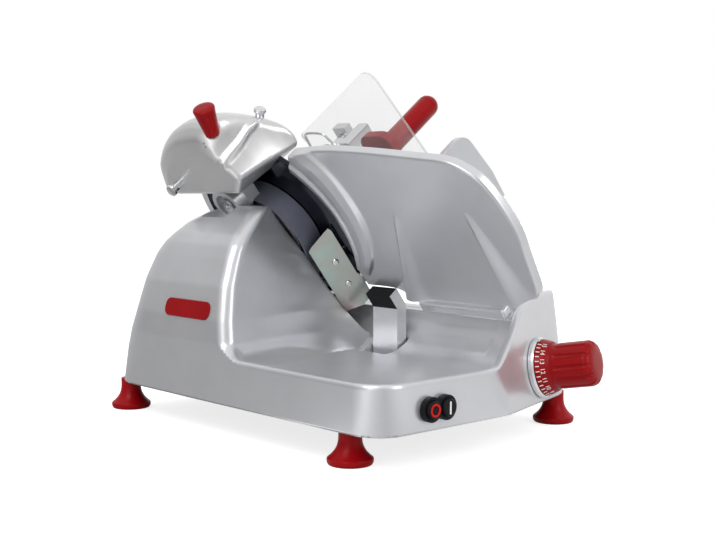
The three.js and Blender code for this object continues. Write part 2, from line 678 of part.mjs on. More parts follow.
function guideLugs() {
  const wallZ = [
    base.coverLevel + base.coverThickness + fit.gap, deck.top - base.wall / 2,
  ];
  const rodLug = [carriage.rodX - carriage.lugSize, carriage.rodX + carriage.lugSize];
  const barLug = [carriage.barX - carriage.lugSize * 0.8, carriage.barX + carriage.lugSize * 0.8];
  const gaugeZ = [slide.barZ - slide.lugRadius, tray.floor - base.wall / 2];
  const gaugeLugs = [slide.frontBarY, slide.rearBarY].flatMap((y) => [
    box(slide.barLeft - slide.lugLength / 2, slide.barLeft + slide.lugLength / 2,
      y - slide.lugRadius, y + slide.lugRadius, ...gaugeZ),
    box(slide.barRight - slide.lugLength / 2, slide.barRight + slide.lugLength / 2,
      y - slide.lugRadius, y + slide.lugRadius, gaugeZ[0], tray.ridgeTop - base.wall / 2),
  ]);
  return [
    box(...rodLug, carriage.rodFront - carriage.lugSize * 0.4,
      carriage.rodFront + carriage.lugSize / 2, ...wallZ),
    box(...rodLug, carriage.rodRear - carriage.lugSize / 2,
      carriage.rodRear + base.wall, ...wallZ),
    box(...barLug, carriage.barFront - carriage.lugSize / 2,
      carriage.barFront + carriage.lugSize / 2, ...wallZ),
    box(...barLug, carriage.rodRear - carriage.lugSize,
      carriage.rodRear - carriage.lugSize / 2 + fit.overrun, ...wallZ),
    ...gaugeLugs,
  ];
}

function carriageRod(extra) {
  return post(carriage.rodRadius + extra, carriage.rodFront - extra, carriage.rodRear + extra,
    alongAxis(v3(0, 1, 0), carriage.rodX, 0, carriage.rodZ));
}

function carriageBar(extra) {
  const half = carriage.barSize / 2 + extra;
  return box(carriage.barX - half, carriage.barX + half, carriage.barFront - extra,
    carriage.rodRear - carriage.lugSize / 2 + extra, carriage.barZ - half, carriage.barZ + half);
}

function gaugeBar(y, extra) {
  return post(slide.barRadius + extra, slide.barLeft - extra, slide.barRight + extra,
    alongAxis(v3(1, 0, 0), 0, y, slide.barZ), { sides: fit.sides });
}

const guideBores = () => [
  carriageRod(fit.gap), carriageBar(fit.gap),
  gaugeBar(slide.frontBarY, fit.gap), gaugeBar(slide.rearBarY, fit.gap),
];

function housingMouth() {
  const frame = housingFrame;
  const right = bladeSideX(foot.height, housing.faceOffset);
  return [
    [frame.left, frame.frontLeftLow, housing.cornerFront],
    [right, frame.frontRightLow, housing.cornerInner],
    [right, frame.rear, housing.cornerInner],
    [frame.left, frame.rear, housing.cornerRear],
  ];
}

function footPlaces() {
  const [left, right] = [base.left + foot.fromLeft, base.right - foot.fromRight];
  const [front, rear] = [base.front + foot.fromFront, base.rear - foot.fromRear];
  return [[left, front], [right, front], [right, rear], [left, rear]];
}

const footBoss = ([x, y]) => post(
  foot.neckRadius, foot.height,
  x < 0 ? tray.floor - base.wall / 2 : foot.height + foot.studLength + base.wall,
  world, { x, y },
);
const footBore = ([x, y]) => post(
  foot.studRadius + fit.gap, foot.height - fit.overrun, foot.height + foot.studLength + fit.gap,
  world, { x, y, sides: fit.smallSides },
);

// Slice deflector: a thin plate that stands from the housing's edge towards the blade

const deflectorRun = v3(deflectorRunU, 0, deflector.runW);
const deflectorOrigin = v3(deflector.startU, 0, deflector.startW);
// In this frame x runs from the housing to the blade, y up the blade's plane.
const deflectorNormal = deflectorRun.clone().normalize().cross(v3(0, 1, 0));
const deflectorFrame = frameAt(cutFrame, deflectorOrigin, deflectorRun, deflectorNormal);

const deflectorHoles = () => [deflector.screwHigh, deflector.screwLow].map((y) => ({
  x: deflectorWidth * deflector.screwShare, y, sides: fit.smallSides,
}));

// The lug runs back from the plate's start until it is rooted in the housing.
function buildDeflectorLug() {
  const back = ((deflector.lugRootU - deflector.startU) * deflectorWidth) / -deflectorRunU;
  const lug = box(-back, deflectorWidth * deflector.lugShare, deflector.lugLow,
    deflector.lugHigh, -fit.gap - deflector.lugThickness, -fit.gap, deflectorFrame);
  const holes = deflectorHoles().map((at) => post(deflector.screwRadius + fit.gap,
    -deflector.lugThickness, 0, deflectorFrame, at));
  return cut(lug, ...holes);
}

function buildBaseCover() {
  const top = base.coverLevel + base.coverThickness;
  const facetFoot = v3(base.facetStart, base.front, foot.height)
    .addScaledVector(facetAxis, -base.wall - fit.gap);
  const plate = slab(planAt(top, base.wall + fit.gap), base.coverLevel, top)
    .subtract(beyondPlane(facetFoot, facetAxis));
  const holes = footPlaces().map(([x, y]) => post(foot.neckRadius + fit.gap,
    base.coverLevel - fit.overrun, top + fit.overrun, world, { x, y }));
  return cut(plate, ...holes);
}

function buildFoot([x, y]) {
  const bell = [];
  for (let i = 0; i <= fit.roundSteps; i += 1) {
    const share = i / fit.roundSteps;
    bell.push([
      THREE.MathUtils.lerp(foot.rimRadius, foot.neckRadius, 1 - (1 - share) ** 2.7),
      THREE.MathUtils.lerp(foot.rimLevel, foot.height * 0.8, share),
    ]);
  }
  const top = foot.height - fit.gap;
  return turned([
    [0, 0], [foot.baseRadius, 0], [foot.rimRadius, foot.baseEdge], ...bell,
    [foot.neckRadius, top], [foot.studRadius, top],
    [foot.studRadius, foot.height + foot.studLength], [0, foot.height + foot.studLength],
  ], new THREE.Matrix4().makeTranslation(x, y, 0));
}

// Motor and belt drive, all on axes parallel to w

const motorFrame = new THREE.Matrix4().makeTranslation(motorU, motorV, 0);

function buildMotorBody() {
  const front = -housing.faceOffset - housing.padDepth - fit.gap;
  const back = front - drive.motorLength;
  const profile = [
    [drive.motorShaftRadius + fit.gap, front], [drive.motorRadius, front],
    [drive.motorRadius, front - drive.motorFlange],
  ];
  const pitch = (drive.motorLength - drive.motorFlange * 3) / drive.ribs;
  for (let i = 0; i < drive.ribs; i += 1) {
    const level = front - drive.motorFlange - i * pitch;
    profile.push([drive.motorRadius - drive.grooveDepth, level]);
    profile.push([drive.motorRadius - drive.grooveDepth, level - pitch / 2]);
    profile.push([drive.motorRadius, level - pitch / 2], [drive.motorRadius, level - pitch]);
  }
  const boreEnd = back + drive.motorFlange;
  profile.push([drive.motorRadius * 0.8, back], [0, back], [0, boreEnd]);
  profile.push([drive.motorShaftRadius + fit.gap, boreEnd]);
  profile.push([drive.motorShaftRadius + fit.gap, front]);
  return turned(profile, motorFrame);
}

function buildMotorShaft() {
  const front = -drive.pulleyFront;
  const back = -housing.faceOffset - housing.padDepth - drive.motorLength + drive.motorFlange;
  return post(drive.motorShaftRadius, back + fit.gap * 2, front, motorFrame, { sides: fit.sides });
}

function buildMotorPulley() {
  const outer = post(drive.motorPulleyRadius, -drive.pulleyBack, -drive.pulleyFront, motorFrame);
  const bore = post(drive.motorShaftRadius + fit.gap, -drive.pulleyBack - fit.overrun,
    -drive.pulleyFront + fit.overrun, motorFrame, { sides: fit.sides });
  return cut(outer, bore);
}

function beltSolid(extra, back, front) {
  return slab(beltOutline(
    drive.pulleyRadius + extra, motorU, motorV, drive.motorPulleyRadius + extra,
  ), back, front);
}

function buildBelt() {
  const back = -drive.pulleyBack + fit.gap * 2;
  const front = -drive.pulleyFront - fit.gap * 2;
  return cut(
    beltSolid(fit.gap + drive.beltThickness, back, front),
    beltSolid(fit.gap, back - fit.overrun, front + fit.overrun),
  );
}

function buildBeltCover() {
  const back = -housing.faceOffset + fit.gap;
  const outline = (drop) => beltOutline(
    drive.coverRadius - drop, motorU, motorV, drive.coverSmall - drop,
    fit.edgeSteps,
  );
  const shell = slab(outline(0), back, -drive.coverFront);
  const room = slab(outline(drive.coverWall), back - fit.overrun,
    -drive.coverFront - drive.coverWall);
  const bore = post(drive.flangeRadius + drive.lip, back, 0, world, { sides: fit.fineSides });
  const notch = box(hood.columnLeft - fit.gap, hood.columnRight + fit.gap,
    hood.columnLow - fit.gap, drive.coverRadius + fit.overrun, back - fit.overrun,
    -hood.columnFront + fit.gap);
  return cut(shell, room, bore, notch);
}

function boltPlaces() {
  return Array.from({ length: blade.boltCount }, (_, i) => {
    const angle = PI / 2 + (i * 2 * PI) / blade.boltCount;
    return [blade.boltCircle * cos(angle), blade.boltCircle * sin(angle)];
  });
}

function buildBladePulley() {
  const bore = drive.shaftRadius + fit.gap;
  const hub = drive.shaftRadius * 2;
  const web = -drive.pulleyFront - drive.coverWall;
  const rimInner = drive.pulleyRadius - base.wall;
  const flange = -drive.flangeBack - drive.lip;
  const hubEnd = -drive.pulleyBack - drive.lip;
  const face = -blade.backFace - fit.gap;
  const wheel = turned([
    [bore, hubEnd], [hub, hubEnd], [hub, web],
    [rimInner, web], [rimInner, -drive.pulleyBack], [drive.pulleyRadius, -drive.pulleyBack],
    [drive.pulleyRadius, flange], [drive.flangeRadius, flange], [drive.flangeRadius, face],
    [bore, face], [bore, hubEnd],
  ], world, fit.turnSides);
  const holes = boltPlaces().map(([x, y]) => post(blade.boltRadius + fit.gap, flange,
    face + fit.overrun, world, { x, y, sides: fit.smallSides }));
  return cut(wheel, ...holes);
}

const buildBladeShaft = () => post(
  drive.shaftRadius, -drive.shaftBack, -blade.hollowDepth - fit.gap * 2,
);

function buildBearing(back) {
  const inner = drive.shaftRadius + fit.gap;
  const outer = drive.bearingRadius;
  const race = (outer - inner) / 4;
  const front = back + drive.bearingWidth;
  const dish = fit.gap * 3;
  return turned([
    [inner, back], [outer, back], [outer, front],
    [outer - race, front], [outer - race, front - dish], [inner + race, front - dish],
    [inner + race, front], [inner, front], [inner, back],
  ]);
}

function buildBlade() {
  const bore = drive.shaftRadius + fit.gap;
  const face = -blade.hollowDepth - fit.gap;
  const disc = turned([
    [bore, -blade.backFace], [bladeBevel, -blade.backFace],
    [blade.radius, -blade.edgeBack], [blade.radius, 0], [bladeHollow, face],
    [bore, face], [bore, -blade.backFace],
  ], world, fit.discSides);
  const holes = boltPlaces().map(([x, y]) => join(
    post(blade.boltRadius + fit.gap, -blade.backFace - fit.overrun, 0, world,
      { x, y, sides: fit.smallSides }),
    post(blade.boltHead + fit.gap, face - blade.boltHeadHeight - fit.gap, 0, world,
      { x, y, sides: fit.smallSides }),
  ));
  return cut(disc, ...holes);
}

function buildBladeScrew([x, y]) {
  const top = -blade.hollowDepth - fit.gap * 1.5;
  const at = { x, y, sides: fit.smallSides };
  const head = post(blade.boltHead, top - blade.boltHeadHeight, top, world, at);
  const shank = post(blade.boltRadius, -drive.flangeBack, top, world, at);
  const slot = box(x - blade.boltHead, x + blade.boltHead, y - fit.gap * 2, y + fit.gap * 2,
    top - blade.boltHeadHeight / 2, top + fit.overrun);
  return cut(join(head, shank), slot);
}

// Blade cover and the fixed guard ring that carries it

function tongue(back, front, halfWidth) {
  const frame = new THREE.Matrix4().makeRotationZ(rad(cover.tongueAngle));
  return box(0, ringOuter, -halfWidth, halfWidth, back, front, frame);
}

const coverScrewPlace = () => polar(ringMiddle, cover.tongueAngle);

function buildBladeCover() {
  const disc = post(coverRadius, cover.back, cover.front, world, { sides: fit.discSides });
  const arm = tongue(cover.tongueBack + fit.gap, cover.tongueFront + fit.gap,
    cover.tongueWidth / 2);
  const inboard = post(coverRadius * 0.86, cover.tongueBack, cover.tongueFront + fit.overrun);
  const root = tongue(cover.back / 2, cover.tongueFront + fit.gap, cover.tongueWidth / 2)
    .intersect(post(coverRadius, cover.back, cover.tongueFront + fit.overrun));
  const [x, y] = coverScrewPlace();
  const hole = post(cover.screwRadius + fit.gap, -fit.overrun, ring.front + fit.overrun, world,
    { x, y, sides: fit.smallSides });
  return cut(join(disc, arm.subtract(inboard), root.subtract(inboard)), hole);
}

const ringLugPlaces = () => ring.lugAngles.map((angle) => polar(ringMiddle, angle));

function buildGuardRing() {
  const arc = [
    ...arcPoints(0, 0, ringOuter, ring.startAngle, ring.endAngle, fit.edgeSteps),
    ...arcPoints(0, 0, ringInner, ring.endAngle, ring.startAngle, fit.edgeSteps),
  ];
  const band = slab(arc, ring.back, ring.front);
  const lugs = ringLugPlaces().map(([x, y]) => post(ring.lugRadius,
    -housing.faceOffset + fit.gap, ring.back + fit.overrun, world, { x, y }));
  const seat = tongue(cover.tongueBack, ring.front + fit.overrun,
    cover.tongueWidth / 2 + fit.gap);
  const [x, y] = coverScrewPlace();
  const hole = post(cover.screwRadius + fit.gap, ring.front - cover.screwDepth - fit.gap,
    ring.front + fit.overrun, world, { x, y, sides: fit.smallSides });
  return cut(join(band, ...lugs), seat, hole);
}

function buildCoverScrew() {
  const [x, y] = coverScrewPlace();
  const seat = cover.tongueFront + fit.gap * 2;
  const head = post(cover.screwHead, seat, seat + cover.screwHeadHeight, world,
    { x, y, sides: fit.smallSides, top: cover.screwHead * 0.8 });
  const shank = post(cover.screwRadius, ring.front - cover.screwDepth, seat + fit.gap, world,
    { x, y, sides: fit.smallSides });
  return join(head, shank);
}

// Along the plate's width and down its height.
const deflectorShares = [
  [0.189, 0.136], [0.069, 0.169], [0.069, 0.975], [0.631, 1], [1, 0.931], [1, 0.719],
  [0.931, 0.62], [0.931, 0.068], [0.874, 0.026],
];

function buildDeflector() {
  const outline = deflectorShares.map(([across, down]) => v2(
    deflectorWidth * across, -deflector.drop * down,
  ));
  const holes = deflectorHoles().map((at) => post(deflector.screwRadius + fit.gap,
    -fit.overrun, deflector.thickness + fit.overrun, world, at));
  return cut(slab(outline, 0, deflector.thickness), ...holes);
}

function buildDeflectorScrew(at) {
  const seat = deflector.thickness + fit.gap;
  return join(
    post(deflector.screwRadius, -deflector.lugThickness * 0.8, seat + fit.gap, world, at),
    post(deflector.headRadius, seat, seat + deflector.headHeight, world,
      { ...at, top: deflector.headRadius * 0.7 }),
  );
}

// Switch: a figure-eight bezel with two sprung push buttons

const powerFrame = frameAt(
  world, v3(power.x, base.front, power.z), v3(1, 0, 0), v3(0, -1, 0),
);

function figureEight(radius, back, front) {
  return join(...[-1, 1].map((side) => post(radius, back, front, world,
    { x: (side * power.pitch) / 2, sides: fit.fineSides })));
}

const buttonBores = () => figureEight(power.buttonRadius + fit.gap,
  power.depth + power.buttonProud - power.buttonLength - power.travel - fit.gap * 2,
  power.depth + fit.overrun);

const buildSwitchPlate = () => cut(
  figureEight(power.lobeRadius, fit.gap, power.depth), buttonBores(),
);

function buildSwitchBody() {
  const [x, y] = [power.boxWidth / 2, power.boxHeight / 2];
  return cut(box(-x, x, -y, y, -power.boxDepth, 0), buttonBores());
}

function buildButton(side, mark) {
  const face = power.depth + power.buttonProud;
  const x = (side * power.pitch) / 2;
  const body = turned([
    [0, face - power.buttonLength], [power.buttonRadius, face - power.buttonLength],
    [power.buttonRadius, face - power.buttonEdge], [power.buttonRadius - power.buttonEdge, face],
    [0, face],
  ], new THREE.Matrix4().makeTranslation(x, 0, 0), fit.turnSides);
  return cut(body, mark(x, face - power.markDepth, face + fit.overrun));
}

const ringMark = (x, back, front) => cut(
  post(power.markRadius, back, front, world, { x, sides: fit.sides }),
  post(power.markRadius - power.markWidth, back - fit.overrun, front + fit.overrun, world,
    { x, sides: fit.sides }),
);

const barMark = (x, back, front) => box(x - power.markWidth / 2, x + power.markWidth / 2,
  -power.markRadius, power.markRadius, back, front);

// Thickness knob, its fixed index ring and the cam on its shaft

function buildIndexRing() {
  const bore = knob.shaftRadius + fit.gap;
  const edge = knob.ringRadius;
  const body = turned([
    [bore, fit.gap], [edge, fit.gap], [edge, knob.ringHeight - knob.ringEdge],
    [edge - knob.ringEdge, knob.ringHeight], [bore, knob.ringHeight], [bore, fit.gap],
  ], world, fit.fineSides);
  const frame = new THREE.Matrix4().makeRotationZ(rad(knob.indexAngle));
  const pointer = box(knob.skirtRadius + fit.gap * 2, edge, -knob.indexWidth / 2,
    knob.indexWidth / 2, knob.ringHeight - knob.indexRise, knob.ringHeight + knob.indexRise,
    frame);
  return join(body, pointer);
}

// The crown's radius and its drop below the top, as shares of the body and the crown.
const crownShares = [[1, 1], [0.92, 0.486], [0.76, 0.171], [0.5, 0.043]];

function buildKnob() {
  const low = knob.ringHeight + fit.gap;
  const neck = low + knob.skirtHeight;
  const crest = knob.length;
  const bore = knob.shaftRadius + fit.gap;
  const crown = crownShares.map(([out, down]) => [
    knob.bodyRadius * out, crest - knob.crown * down,
  ]);
  const body = turned([
    [0, knob.shaftEnd + fit.gap], [bore, knob.shaftEnd + fit.gap], [bore, low],
    [knob.skirtRadius, low], [knob.skirtRadius, low + knob.skirtEdge],
    [knob.neckRadius + knob.skirtFlare, neck - knob.skirtFlare * 0.8], [knob.neckRadius, neck],
    [THREE.MathUtils.lerp(knob.neckRadius, knob.bodyRadius, 1 / 3), neck + knob.neckRise],
    [knob.bodyRadius, neck + knob.neckRise * 2], ...crown, [knob.dimpleRadius, crest],
    [knob.dimpleRadius * 0.6, crest - knob.dimpleDepth * 0.8], [0, crest - knob.dimpleDepth],
  ], world, fit.fineSides);
  const flutes = Array.from({ length: knob.flutes }, (_, i) => {
    const [x, y] = polar(knob.bodyRadius + knob.fluteRadius - knob.fluteDepth,
      (i * 360) / knob.flutes);
    return post(knob.fluteRadius, neck + fit.overrun, crest + fit.overrun, world,
      { x, y, sides: knob.fluteSides });
  });
  return cut(body, ...flutes);
}

const camLift = gauge.travel * cos(facetAngle);

// The cam grows as it turns, pushing the follower pin on its left away from the axis.
function buildCamShaft() {
  const shaft = post(knob.shaftRadius, -knob.camFar - base.wall, knob.shaftEnd, world,
    { sides: fit.sides });
  const outline = Array.from({ length: fit.edgeSteps + 1 }, (_, i) => {
    const share = i / fit.edgeSteps;
    return v2(...polar(knob.camLow + camLift * share, 180 - knob.turn * share));
  });
  outline.push(v2(...polar(knob.camLow, 180 - knob.turn)));
  return join(shaft, slab(outline, -knob.camFar, -knob.camNear));
}

// Gauge slide: a block on two bars, a finger that rides the cam and a stem to the plate

function buildGaugeArm() {
  const block = box(slide.left, slide.right, slide.front, slide.rear, slide.bottom, slide.top);
  const window = box(slide.right - slide.lugRadius * 3, slide.right - slide.lugRadius,
    slide.frontBarY + slide.lugRadius, slide.rearBarY - slide.lugRadius,
    slide.bottom - fit.overrun, slide.top + fit.overrun);
  const finger = box(slide.fingerLeft, slide.fingerRight, slide.fingerFront, slide.front
    + slide.lugRadius, slide.fingerBottom, slide.fingerTop);
  const clearRound = post(knob.shaftRadius + base.wall, -knob.camFar - base.wall - fit.overrun,
    knob.shaftEnd, knobFrame);
  const pin = post(slide.pinRadius, slide.pinBack, slide.pinFront,
    knobFrame, { x: -knob.camLow - slide.pinRadius - fit.gap, sides: fit.smallSides });
  const stem = box(slide.stemLeft, slide.stemRight, blade.y + gauge.armFront,
    blade.y + gauge.armRear, slide.bottom + fit.overrun,
    blade.z + armHigh * cos(tilt) - gauge.armBack * sin(tilt));
  const pad = box(gauge.armFront, gauge.armRear, armHigh - gauge.armHeight, armHigh,
    -gauge.armBack, -gauge.thickness - fit.gap, cutFrame);
  const stemClear = stem.subtract(beyondPlane(
    v3(0, 0, -gauge.thickness - fit.gap).applyMatrix4(cutFrame), v3(cos(tilt), 0, sin(tilt)),
  ));
  const bores = [slide.frontBarY, slide.rearBarY].map((y) => post(
    slide.barRadius + fit.gap, slide.left - fit.overrun, slide.right + fit.overrun,
    alongAxis(v3(1, 0, 0), 0, y, slide.barZ), { sides: fit.sides },
  ));
  return cut(join(block, finger.subtract(clearRound), pin, stemClear, pad), window, ...bores);
}

// The plate's outline and its two ribs: how far along its length, and how far up its rise.
const gaugeShares = [
  [-0.039, 0.973], [0.179, 1], [0.374, 0.967], [0.565, 0.918], [0.719, 0.874], [0.8, 0.852],
  [0.855, 0.809], [0.9, 0.732], [0.941, 0.645], [0.968, 0.503], [0.986, 0.328], [1, 0.109],
  [1, -0.033], [0.982, -0.24], [0.968, -0.459], [0.946, -0.776], [0.864, -0.809],
  [0.746, -0.951], [0.265, -0.951], [0.193, -0.94], [0.147, -0.809], [-0.052, -0.809],
];
const ribShares = [
  [[0.401, 0.153], [0.361, 0.153], [0.166, -0.874], [0.229, -0.874]],
  [[0.805, 0.197], [0.764, 0.197], [0.746, -0.94], [0.828, -0.874]],
];
const lipShare = { front: 0.728, rear: 0.247, top: -0.94 };
const gaugeU = (along) => -blade.radius - gauge.length * along;
const onGauge = ([along, up]) => v2(gaugeU(along), gaugeRise * up);

function buildGaugePlate() {
  const arc = blade.radius + gauge.arcClearance;
  const outline = gaugeShares.map(onGauge);
  const edge = arcPoints(0, 0, arc, gauge.arcLow, gauge.arcHigh, fit.edgeSteps);
  const plate = slab([...outline, ...edge], -gauge.thickness, 0);
  const dish = post(gauge.chamferRadius - gauge.chamferFlare, -gauge.chamferDepth, fit.gap / 10,
    world, { x: gauge.chamferU, y: gauge.chamferV, top: gauge.chamferRadius,
      sides: fit.discSides });
  const grooves = Array.from({ length: gauge.grooveCount }, (_, i) => {
    const low = gauge.grooveLow + i * gauge.groovePitch;
    return box(gaugeU(2), 0, low, low + gauge.grooveWidth, -gauge.grooveDepth,
      fit.overrun);
  });
  const ribs = ribShares.map((points) => slab(points.map(onGauge).reverse(),
    -gauge.thickness - gauge.ribHeight, -gauge.thickness + gauge.ribBury));
  const lipTop = gaugeRise * lipShare.top;
  const lip = box(gaugeU(lipShare.front), gaugeU(lipShare.rear),
    lipTop - gauge.lipHeight, lipTop, -gauge.lipBack, -gauge.lipFront);
  return join(cut(plate, dish, ...grooves), ...ribs, lip);
}

// Sharpener: bracket, hood with its two stones, and the clamp knob that frees it to lift

const hoodShares = [
  // along w, radius, front and rear angles of a half turn, then the lower corners
  // as shares of the largest radius: front u and v, rear u and v
  [0.000, 0.889, 0.6500, 0.2889, -0.312, 0.583, 0.569, 0.486],
  [0.054, 0.931, 0.6444, 0.2722, -0.319, 0.576, 0.590, 0.479],
  [0.108, 0.958, 0.6444, 0.2611, -0.326, 0.569, 0.604, 0.479],
  [0.203, 0.986, 0.6500, 0.2500, -0.347, 0.562, 0.611, 0.479],
  [0.297, 1.000, 0.6556, 0.2444, -0.368, 0.556, 0.618, 0.479],
  [0.432, 0.997, 0.6667, 0.2389, -0.396, 0.549, 0.618, 0.479],
  [0.568, 0.976, 0.6778, 0.2389, -0.424, 0.535, 0.611, 0.479],
  [0.703, 0.934, 0.6889, 0.2389, -0.451, 0.521, 0.597, 0.472],
  [0.811, 0.889, 0.7000, 0.2500, -0.472, 0.507, 0.576, 0.465],
  [0.919, 0.840, 0.7056, 0.2611, -0.486, 0.493, 0.549, 0.458],
  [1.000, 0.799, 0.7111, 0.2778, -0.486, 0.486, 0.507, 0.458],
];

function hoodRow([along, size, front, rear, frontU, frontV, rearU, rearV]) {
  return {
    w: THREE.MathUtils.lerp(hood.back, hood.front, along), radius: hoodRadius * size,
    front: 180 * front, rear: 180 * rear,
    frontLow: v2(hoodRadius * frontU, hoodRadius * frontV),
    rearLow: v2(hoodRadius * rearU, hoodRadius * rearV),
  };
}

const roofAt = ({ radius, front, rear }, angle) => (
  radius - (hood.rearFall * (front - angle)) / (front - rear)
);

// The roof's radius over one angle at any level of w.
function hoodRoof(w, angle) {
  const rows = hoodShares.map(hoodRow);
  const next = rows.findIndex((row) => row.w > w);
  const [low, high] = [rows[next - 1], rows[next]];
  const share = (w - low.w) / (high.w - low.w);
  return THREE.MathUtils.lerp(roofAt(low, angle), roofAt(high, angle), share);
}

function hoodOutline(row, drop) {
  const { radius, front, rear } = row;
  const blend = (hood.corner / radius) * (180 / PI);
  const corner = (angle) => v2(...polar(roofAt(row, angle) - drop, angle));
  const [frontTop, rearTop] = [corner(front - drop / 2), corner(rear + drop / 2)];
  const frontLow = row.frontLow.clone().add(v2(drop, -drop * 3));
  const rearLow = row.rearLow.clone().add(v2(-drop, -drop * 3));
  const towards = (from, to) => from.clone().lerp(to, hood.corner / from.distanceTo(to));
  const bend = (from, over, to) => new THREE.QuadraticBezierCurve(from, over, to)
    .getPoints(fit.roundSteps);
  const crown = Array.from({ length: hood.arcPoints + 1 }, (_, i) => corner(
    THREE.MathUtils.lerp(rear + blend, front - blend, i / hood.arcPoints),
  ));
  return [
    rearLow, ...bend(towards(rearTop, rearLow), rearTop, crown[0]), ...crown.slice(1, -1),
    ...bend(crown.at(-1), frontTop, towards(frontTop, frontLow)), frontLow,
  ];
}

function buildHood() {
  const rows = (drop) => hoodShares.map(hoodRow).map((row) => ({
    level: row.w, outline: hoodOutline(row, drop),
  }));
  const outer = loft(rows(0));
  const size = 2 * blade.radius;
  const inner = loft(rows(hood.wall)).intersect(
    box(-size, size, 0, size, hood.back + hood.wall, hood.front - hood.wall),
  );
  const spindleHole = max(grinder.spindleRadius, grinder.capWaist) + fit.gap;
  const holes = [
    post(spindleHole, hood.back - fit.overrun, hood.back + hood.wall + fit.overrun,
      world, { x: sharpU, y: sharpV, sides: fit.sides }),
    post(spindleHole, grinder.honeThickness, grinder.honeLength + hood.wall,
      honeFrame, { sides: fit.sides }),
    post(clamp.studRadius + fit.gap, -clamp.padDepth - hood.wall, fit.overrun, clampFrame),
    post(clamp.topRadius, -fit.gap, hood.wall, clampFrame),
  ];
  const clampPad = post(clamp.lowRadius, -clamp.padDepth, -fit.gap, clampFrame);
  return cut(join(cut(outer, inner), clampPad), ...holes);
}

const clampFrame = frameAt(
  world, v3(...polar(hoodRoof(clamp.w, clamp.angle) + clamp.rise, clamp.angle), clamp.w),
  v3(sin(rad(clamp.angle)), 0, 0),
  v3(...polar(cos(rad(clamp.lean)), clamp.angle), sin(rad(clamp.lean))),
);

function buildClampKnob() {
  const { height, lowRadius, topRadius, dome } = clamp;
  return turned([
    [0, -clamp.studLength], [clamp.studRadius, -clamp.studLength], [clamp.studRadius, 0],
    [lowRadius, 0], [lowRadius + clamp.flare, clamp.foot],
    [topRadius - clamp.flare * 2, height - dome * 2],
    [topRadius, height - dome], [topRadius * 0.9, height - dome * 0.4],
    [topRadius * 0.6, height - dome * 0.1], [0, height],
  ], clampFrame);
}

function buildBracket() {
  const x = hood.bossU;
  const y = hood.bossV;
  const boss = post(hood.bossRadius, -hood.bossBack, -hood.bossFront, world,
    { x, y, sides: fit.fineSides });
  const column = box(hood.columnLeft, hood.columnRight, hood.columnLow, columnHigh,
    -hood.bossFront - base.wall + fit.gap, -hood.columnFront);
  const recess = post(hood.recessRadius, -hood.bossBack - fit.overrun,
    -hood.bossBack + hood.recessDepth, world, { x, y, sides: fit.fineSides });
  const bore = post(hood.studRadius + fit.gap, -hood.bossBack, -hood.bossFront - base.wall,
    world, { x, y, sides: fit.smallSides });
  const head = box(hood.headLeft, hood.columnRight, columnHigh - hood.headHeight, columnHigh,
    -hood.headBack, -hood.columnFront);
  return cut(join(boss, column, head), recess, bore);
}

function buildBracketScrew() {
  const frame = new THREE.Matrix4().makeTranslation(hood.bossU, hood.bossV, 0);
  const floor = -hood.bossBack + hood.recessDepth - fit.gap;
  const head = post(hood.screwRadius, floor - hood.screwHex * 1.6, floor, frame,
    { sides: fit.fineSides });
  const shank = post(hood.studRadius, floor - fit.gap, -hood.bossFront - base.wall - fit.gap,
    frame, { sides: fit.smallSides });
  const socket = post(hood.screwHex, floor - hood.screwHex * 1.6 - fit.overrun,
    floor - hood.screwHex, frame, { sides: 6 });
  return cut(join(head, shank), socket);
}

const capProfile = (start) => [
  [grinder.capWaist, start], [grinder.capWaist, start + grinder.capHeight * 0.45],
  [grinder.capRadius, start + grinder.capHeight * 0.6],
  [grinder.capRadius, start + grinder.capHeight * 0.9],
  [grinder.capRadius - grinder.capEdge, start + grinder.capHeight], [0, start + grinder.capHeight],
];

const stone = (radius, near, far, frame) => cut(
  post(radius, near, far, frame, { sides: fit.fineSides }),
  post(grinder.spindleRadius + fit.gap, (near + far) / 2, far + fit.overrun, frame,
    { sides: fit.sides }),
);

// This frame's z runs from the stone's grinding face back to its push button.
const [sharpU, sharpV] = polar(blade.radius + grinder.sharpPast, grinder.sharpAngle);
const sharpFrame = frameAt(
  world, v3(sharpU, sharpV, grinder.sharpFront), v3(1, 0, 0), v3(0, 0, -1),
);
const honeAxisShare = [-0.35, 0.85, 0.4];
const honeAxis = v3(...honeAxisShare).normalize();
const honeFrame = frameAt(
  world, v3(...polar(blade.radius, grinder.honeAngle), 0)
    .addScaledVector(honeAxis, grinder.honeRise),
  v3(1, 0, 0), honeAxis,
);

const buildSharpeningStone = () => stone(grinder.stoneRadius, 0, grinder.stoneThickness,
  sharpFrame);
const buildHoningStone = () => stone(grinder.honeRadius, 0, grinder.honeThickness, honeFrame);

function spindle(thickness, length, frame) {
  const start = thickness / 2 + fit.gap;
  return turned([
    [0, start], [grinder.spindleRadius, start], [grinder.spindleRadius, length],
    ...capProfile(length),
  ], frame);
}

const buildSharpeningSpindle = () => spindle(grinder.stoneThickness,
  grinder.sharpFront - grinder.sharpBack, sharpFrame);
const buildHoningSpindle = () => spindle(grinder.honeThickness, grinder.honeLength, honeFrame);

// Carriage: a foot on the rod, a column through the deck slot and the product table

